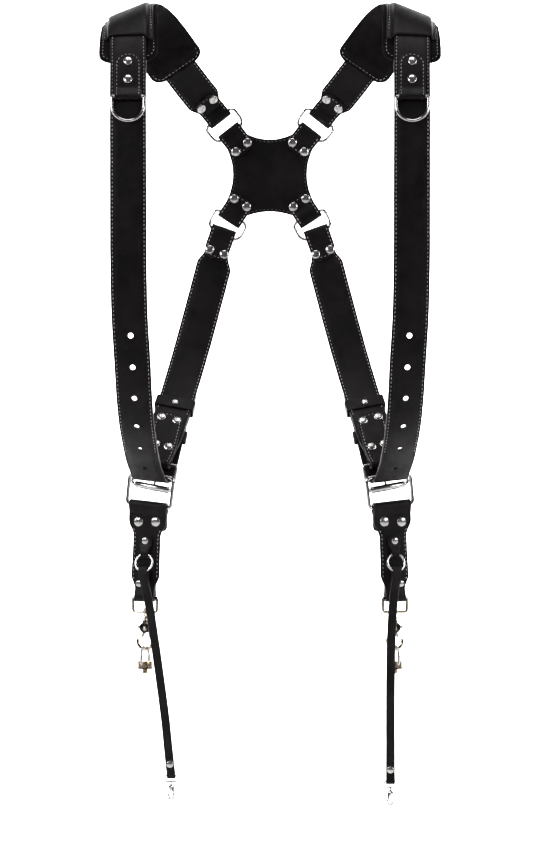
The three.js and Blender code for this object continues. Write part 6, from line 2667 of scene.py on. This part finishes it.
@dataclass
class HipChain(Part):
    """The main snap hook under the hanger and the screw connector in its claw."""

    hanger: Hanger
    length: float = 41.5 * MM

    def build(self) -> None:
        """Make the hook and the connector."""
        wire_radius = 1.3 * MM
        rise = self.hanger.hook_ring_wire + 0.4 * MM + wire_radius
        hook = SnapHook(self.length, 0.5 * MM, 6.8 * MM, 6.8 * MM, 3.4 * MM, wire_radius, rise, True, True)
        pose = self.hanger.hook_ring.moved(0, 0, -self.hanger.hook_ring_height)
        self.shop.piece(
            "hook_eye_metal", hook.eye().placed(pose), Finish.HOOK_NICKEL, ["hook_eye"], "hook_link"
        )
        body = Shape.joined([hook.body(), hook.pin()])
        self.shop.piece(
            "hook_body_metal", body.placed(pose), Finish.HOOK_NICKEL, ["hook_body"], "hook_swivel"
        )
        # The cheeks, a piece of their own, are coloured near black: painted shade and painted dark
        # reflection for the shadow on the hook's body.
        self.shop.piece(
            "hook_cheeks_metal", hook.cheeks.placed(pose), Finish.BLACK_NICKEL, body="hook_swivel"
        )
        self.shop.piece(
            "hook_gate_metal", hook.lever().placed(pose), Finish.HOOK_NICKEL, ["hook_lever"], "hook_gate"
        )
        connector = ScrewConnector()
        floor = hook.floor + 0.4 * MM + connector.bail_wire
        drum = pose.moved(0, 0, floor - connector.bail_reach)
        self.shop.piece(
            "connector_bail_wire",
            connector.bail().placed(drum),
            Finish.STEEL,
            ["connector_bail"],
            "hook_swivel",
        )
        self.shop.piece(
            "connector_drum_steel",
            connector.drum().placed(drum),
            Finish.DRUM,
            ["connector_drum"],
            "connector",
        )
        self.shop.piece(
            "connector_washer_rubber",
            connector.ring().placed(drum),
            Finish.RUBBER,
            ["connector_washer"],
            "connector",
        )


@dataclass
class BackRings(Part):
    """The two rings that join a side's straps to the cross patch."""

    def build(self) -> None:
        """Make the rings."""
        lay, sizes = self.layout, self.layout.sizes
        for name, bar, turn in (
            ("upper_back_ring", lay.upper_far, sizes.upper_ring_turn),
            ("lower_back_ring", lay.lower_bar, -sizes.lower_ring_turn),
        ):
            pose = Pose.along_bar(bar, width_direction(0, turn))
            outline = ring_outline(
                sizes.back_ring_width, sizes.back_ring_height, sizes.back_ring_bar, sizes.back_ring_bow, 12
            )
            self.shop.piece(
                f"{name}_wire", flat_wire(outline, sizes.ring_wire).placed(pose), Finish.NICKEL, [name]
            )


@dataclass
class CrossPatch(Part):
    """The four-armed patch between the shoulder blades."""

    thickness: float = 3 * MM
    waist: float = 39 * MM
    side: float = 40 * MM
    tab: float = 24 * MM
    upper_turn: float = 38.0
    lower_turn: float = 33.0
    hollows: SewnWork = field(default_factory=SewnWork)

    def arms(self) -> list[tuple[np.ndarray, np.ndarray, np.ndarray, np.ndarray, float]]:
        """List the four arms, anticlockwise from the upper right seen from the front.

        Returns:
            For each its bar, its outward direction, its width direction, its root and its slack.
        """
        sizes, out = self.layout.sizes, []
        for hand, side in ((1, 1), (-1, 1), (-1, -1), (1, -1)):
            turn = math.radians(self.upper_turn if side > 0 else self.lower_turn)
            away = vec(hand * math.sin(turn), 0, side * math.cos(turn))
            w = vec(math.cos(turn), 0, -hand * side * math.sin(turn))
            bar = vec(hand * sizes.patch_reach_x, 0, side * sizes.patch_reach_z)
            ring_turn = sizes.upper_ring_turn if side > 0 else sizes.lower_ring_turn
            own = self.upper_turn if side > 0 else self.lower_turn
            corner = sizes.back_ring_bow if side > 0 else sizes.back_ring_bar
            out.append((
                bar, away, w, bar - away * sizes.fold_reach, self.layout.slack(corner, ring_turn - own),
            ))
        return out

    def build(self) -> None:
        """Make the patch with its four folded arms."""
        sizes, torso = self.layout.sizes, self.layout.torso
        t = self.thickness
        lie = (t + sizes.gap) / 2
        centre = vec(0, torso.back_depth, -torso.patch_drop)
        arms = self.arms()
        shapes, corners = [], []
        for bar, away, w, root, sag in arms:
            across = np.cross(TOWARDS_BODY, away)
            edge = sizes.fold_width / 2 + 0.1 * MM
            corners.append((root - across * edge, root + across * edge))
            fold = Fold(
                centre + bar, -away, TOWARDS_BODY, w, sizes.ring_wire, t, self.tab, sizes.fold_width / 2,
                sag=sag, arch=0.8,
            )
            p, ww, hh = fold.line()
            tail = p[-1] - away * np.array([[2.0], [5.0], [8.0]]) * MM
            p = np.concatenate([p, tail])
            ww = np.concatenate([ww, np.tile(w, (3, 1))])
            hh = np.concatenate([hh, [hh[-1] - 0.3 * MM, hh[-1] - 0.8 * MM, hh[-1] - 1.4 * MM]])
            shapes.append(band(p, ww, hh, t * 1.006))
            self.work.sew(*fold.seam(self.work.sewing.inset))
            spots = [(self.tab - 6.5 * MM, -8 * MM), (self.tab - 6.5 * MM, 8 * MM)]
            self.work.rivets(fold.spots(spots))
            self.work.rivets(fold.far_spots(spots))
        shapes.append(self.plate_shape(corners, centre, lie))
        self.shop.piece("cross_patch_leather", Shape.joined(shapes), Finish.LEATHER, ["cross_patch"])
        self.shop.piece(
            "cross_patch_border_stitching", Shape.joined(self.hollows.stitches), Finish.DARK_THREAD
        )

    def plate_shape(
        self, corners: list[tuple[np.ndarray, np.ndarray]], centre: np.ndarray, lie: float
    ) -> Shape:
        """Make the patch's middle, with hollow edges between the arms.

        Args:
            corners: Each arm's two root corners, in order round the patch.
            centre: The patch's middle.
            lie: The plate's distance behind the rings.

        Returns:
            The plate.
        """
        outline = []
        deep = [vec(0, 0, self.waist), vec(-self.side, 0, 0), vec(0, 0, -self.waist), vec(self.side, 0, 0)]
        offset = centre + vec(0, lie, 0)
        for k in range(4):
            start, end = corners[k][1], corners[(k + 1) % 4][0]
            mid = (start + end) / 2
            pull = 2 * deep[k] - mid
            if k in (1, 3):
                pull = vec(2 * deep[k][0] - mid[0], 0, mid[2])
            else:
                pull = vec(0, 0, 2 * deep[k][2] - mid[2])
            s = np.linspace(0, 1, 25)[:, None]
            curve = (1 - s) ** 2 * start + 2 * s * (1 - s) * pull + s**2 * end
            outline.append(curve[:, [0, 2]])
            run = unit(np.gradient(curve, axis=0))
            inward = np.cross(run, vec(0, -1, 0))
            inward *= np.sign(np.sum(inward * -curve, axis=1, keepdims=True))
            for face in (-1.0, 1.0):
                line = curve + inward * self.work.sewing.inset + offset + vec(
                    0, face * (self.thickness / 2), 0
                )
                self.hollows.sew(line, np.tile(vec(0, face, 0), (len(line), 1)))
        path = np.concatenate(outline)
        area = np.sum(path[:, 0] * np.roll(path[:, 1], -1) - np.roll(path[:, 0], -1) * path[:, 1])
        if area < 0:
            path = path[::-1]
        shape = plate(path, self.thickness, 0.9 * MM)
        return shape.moved(*offset)


# The studio


@dataclass(frozen=True)
class Studio:
    """The photograph's view: a level camera before a pale seamless backdrop."""

    distance: float = 5.0
    eye_height: float = -0.4274
    eye_across: float = -0.0037
    view_height: float = 0.8989
    floor: float = -0.92

    def build(self) -> None:
        """Make the camera, the backdrop and the lights."""
        bpy.context.scene.view_settings.view_transform = "Standard"
        self.camera()
        self.backdrop()
        self.lights()

    def camera(self) -> None:
        """Make the camera."""
        data = bpy.data.cameras.new("camera")
        data.sensor_fit = "VERTICAL"
        data.angle = 2 * math.atan(self.view_height / 2 / self.distance)
        data.clip_end = 60
        camera = bpy.data.objects.new("camera", data)
        camera.location = (self.eye_across, -self.distance, self.eye_height)
        camera.rotation_euler = (math.radians(90), 0, 0)
        bpy.context.scene.collection.objects.link(camera)
        bpy.context.scene.camera = camera

    def backdrop(self) -> None:
        """Make the floor, curved up into the wall behind."""
        radius, back, wide = 1.2, 2.6, 7.0
        a = np.linspace(0, math.pi / 2, 16)
        y = np.concatenate([[-6.0], back - radius + radius * np.sin(a), [back]])
        z = np.concatenate([[0.0], radius * (1 - np.cos(a)), [6.0]]) + self.floor
        verts = np.concatenate([np.stack([np.full(len(y), x), y, z], -1) for x in (-wide, wide)])
        faces = [(i, i + 1, len(y) + i + 1, len(y) + i) for i in range(len(y) - 1)]
        mesh = bpy.data.meshes.new("backdrop")
        mesh.from_pydata(verts.tolist(), [], faces)
        mesh.polygons.foreach_set("use_smooth", np.ones(len(faces), dtype=bool))
        mesh.materials.append(Paper().build())
        sweep = bpy.data.objects.new("backdrop", mesh)
        bpy.context.scene.collection.objects.link(sweep)

    def light(
        self,
        name: str,
        place: tuple[float, float, float],
        aim: tuple[float, float, float],
        size: float,
        power: float,
        spread: float = 180.0,
    ) -> None:
        """Hang a soft square light.

        Args:
            name: Its name.
            place: Where it hangs.
            aim: What it points at.
            size: The length of its sides.
            power: Its power in watts.
            spread: The angle in degrees of the cone that it fills.
        """
        data = bpy.data.lights.new(name, "AREA")
        data.size = size
        data.energy = power
        data.spread = math.radians(spread)
        lamp = bpy.data.objects.new(name, data)
        z = unit(np.array(place) - np.array(aim))
        x = unit(np.cross(UP if abs(z[2]) < 0.95 else vec(0, 1, 0), z))
        pose = Pose.of(np.array(place), x, np.cross(z, x), z)
        lamp.matrix_world = Matrix(pose.matrix.tolist())
        bpy.context.scene.collection.objects.link(lamp)

    def lights(self) -> None:
        """Hang the key, fill and top lights, and light the backdrop and the air."""
        self.light("key", (-2.2, -2.6, 1.3), (0, 0, -0.35), 1.1, 50)
        self.light("fill", (2.6, -2.2, 0.6), (0, 0, -0.4), 0.9, 24)
        self.light("top", (0.0, -0.5, 2.4), (0, 0, -0.3), 1.6, 30)
        self.light("wall_left", (-2.2, 0.5, 0.9), (-0.7, 2.6, -0.4), 2.2, 150, 100)
        self.light("wall_right", (2.2, 0.5, 0.9), (0.7, 2.6, -0.4), 2.2, 150, 100)
        world = bpy.data.worlds.new("air")
        world.use_nodes = True
        world.node_tree.nodes["Background"].inputs["Color"].default_value = (0.9, 0.92, 0.95, 1.0)
        world.node_tree.nodes["Background"].inputs["Strength"].default_value = 0.08
        bpy.context.scene.world = world


def build_side(side: str, finishes: dict[Finish, bpy.types.Material], layout: Layout) -> None:
    """Build one side of the harness.

    Args:
        side: "left" or "right".
        finishes: The materials.
        layout: The shared places.
    """
    shop, work = Workshop(finishes, side), SewnWork()
    for part in (MainStrap, ShoulderPad, ChestTab, LowerStrap, BackRings, HipHardware):
        part(layout, shop, work).build()
    hanger = Hanger(layout, shop, work)
    hanger.build()
    HipChain(layout, shop, work, hanger).build()
    Tether(layout, shop, work, hanger, TetherHang[side.upper()]).build()
    shop.piece("stitching", Shape.joined(work.stitches), Finish.THREAD)
    shop.piece("rivet_caps", Shape.joined(work.caps), Finish.RIVET)


def main() -> None:
    """Build the harness, then the studio."""
    logging.basicConfig(level=logging.INFO, format="%(message)s")
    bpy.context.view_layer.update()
    finishes = build_finishes()
    layout = Layout(Torso(), Sizes())
    patch_work = SewnWork()
    middle = Workshop(finishes, "middle")
    CrossPatch(layout, middle, patch_work).build()
    middle.piece("cross_patch_stitching", Shape.joined(patch_work.stitches), Finish.THREAD)
    middle.piece("cross_patch_rivets", Shape.joined(patch_work.caps), Finish.RIVET)
    for side in ("left", "right"):
        build_side(side, finishes, layout)
    Studio().build()


if __name__ == "__main__":
    main()
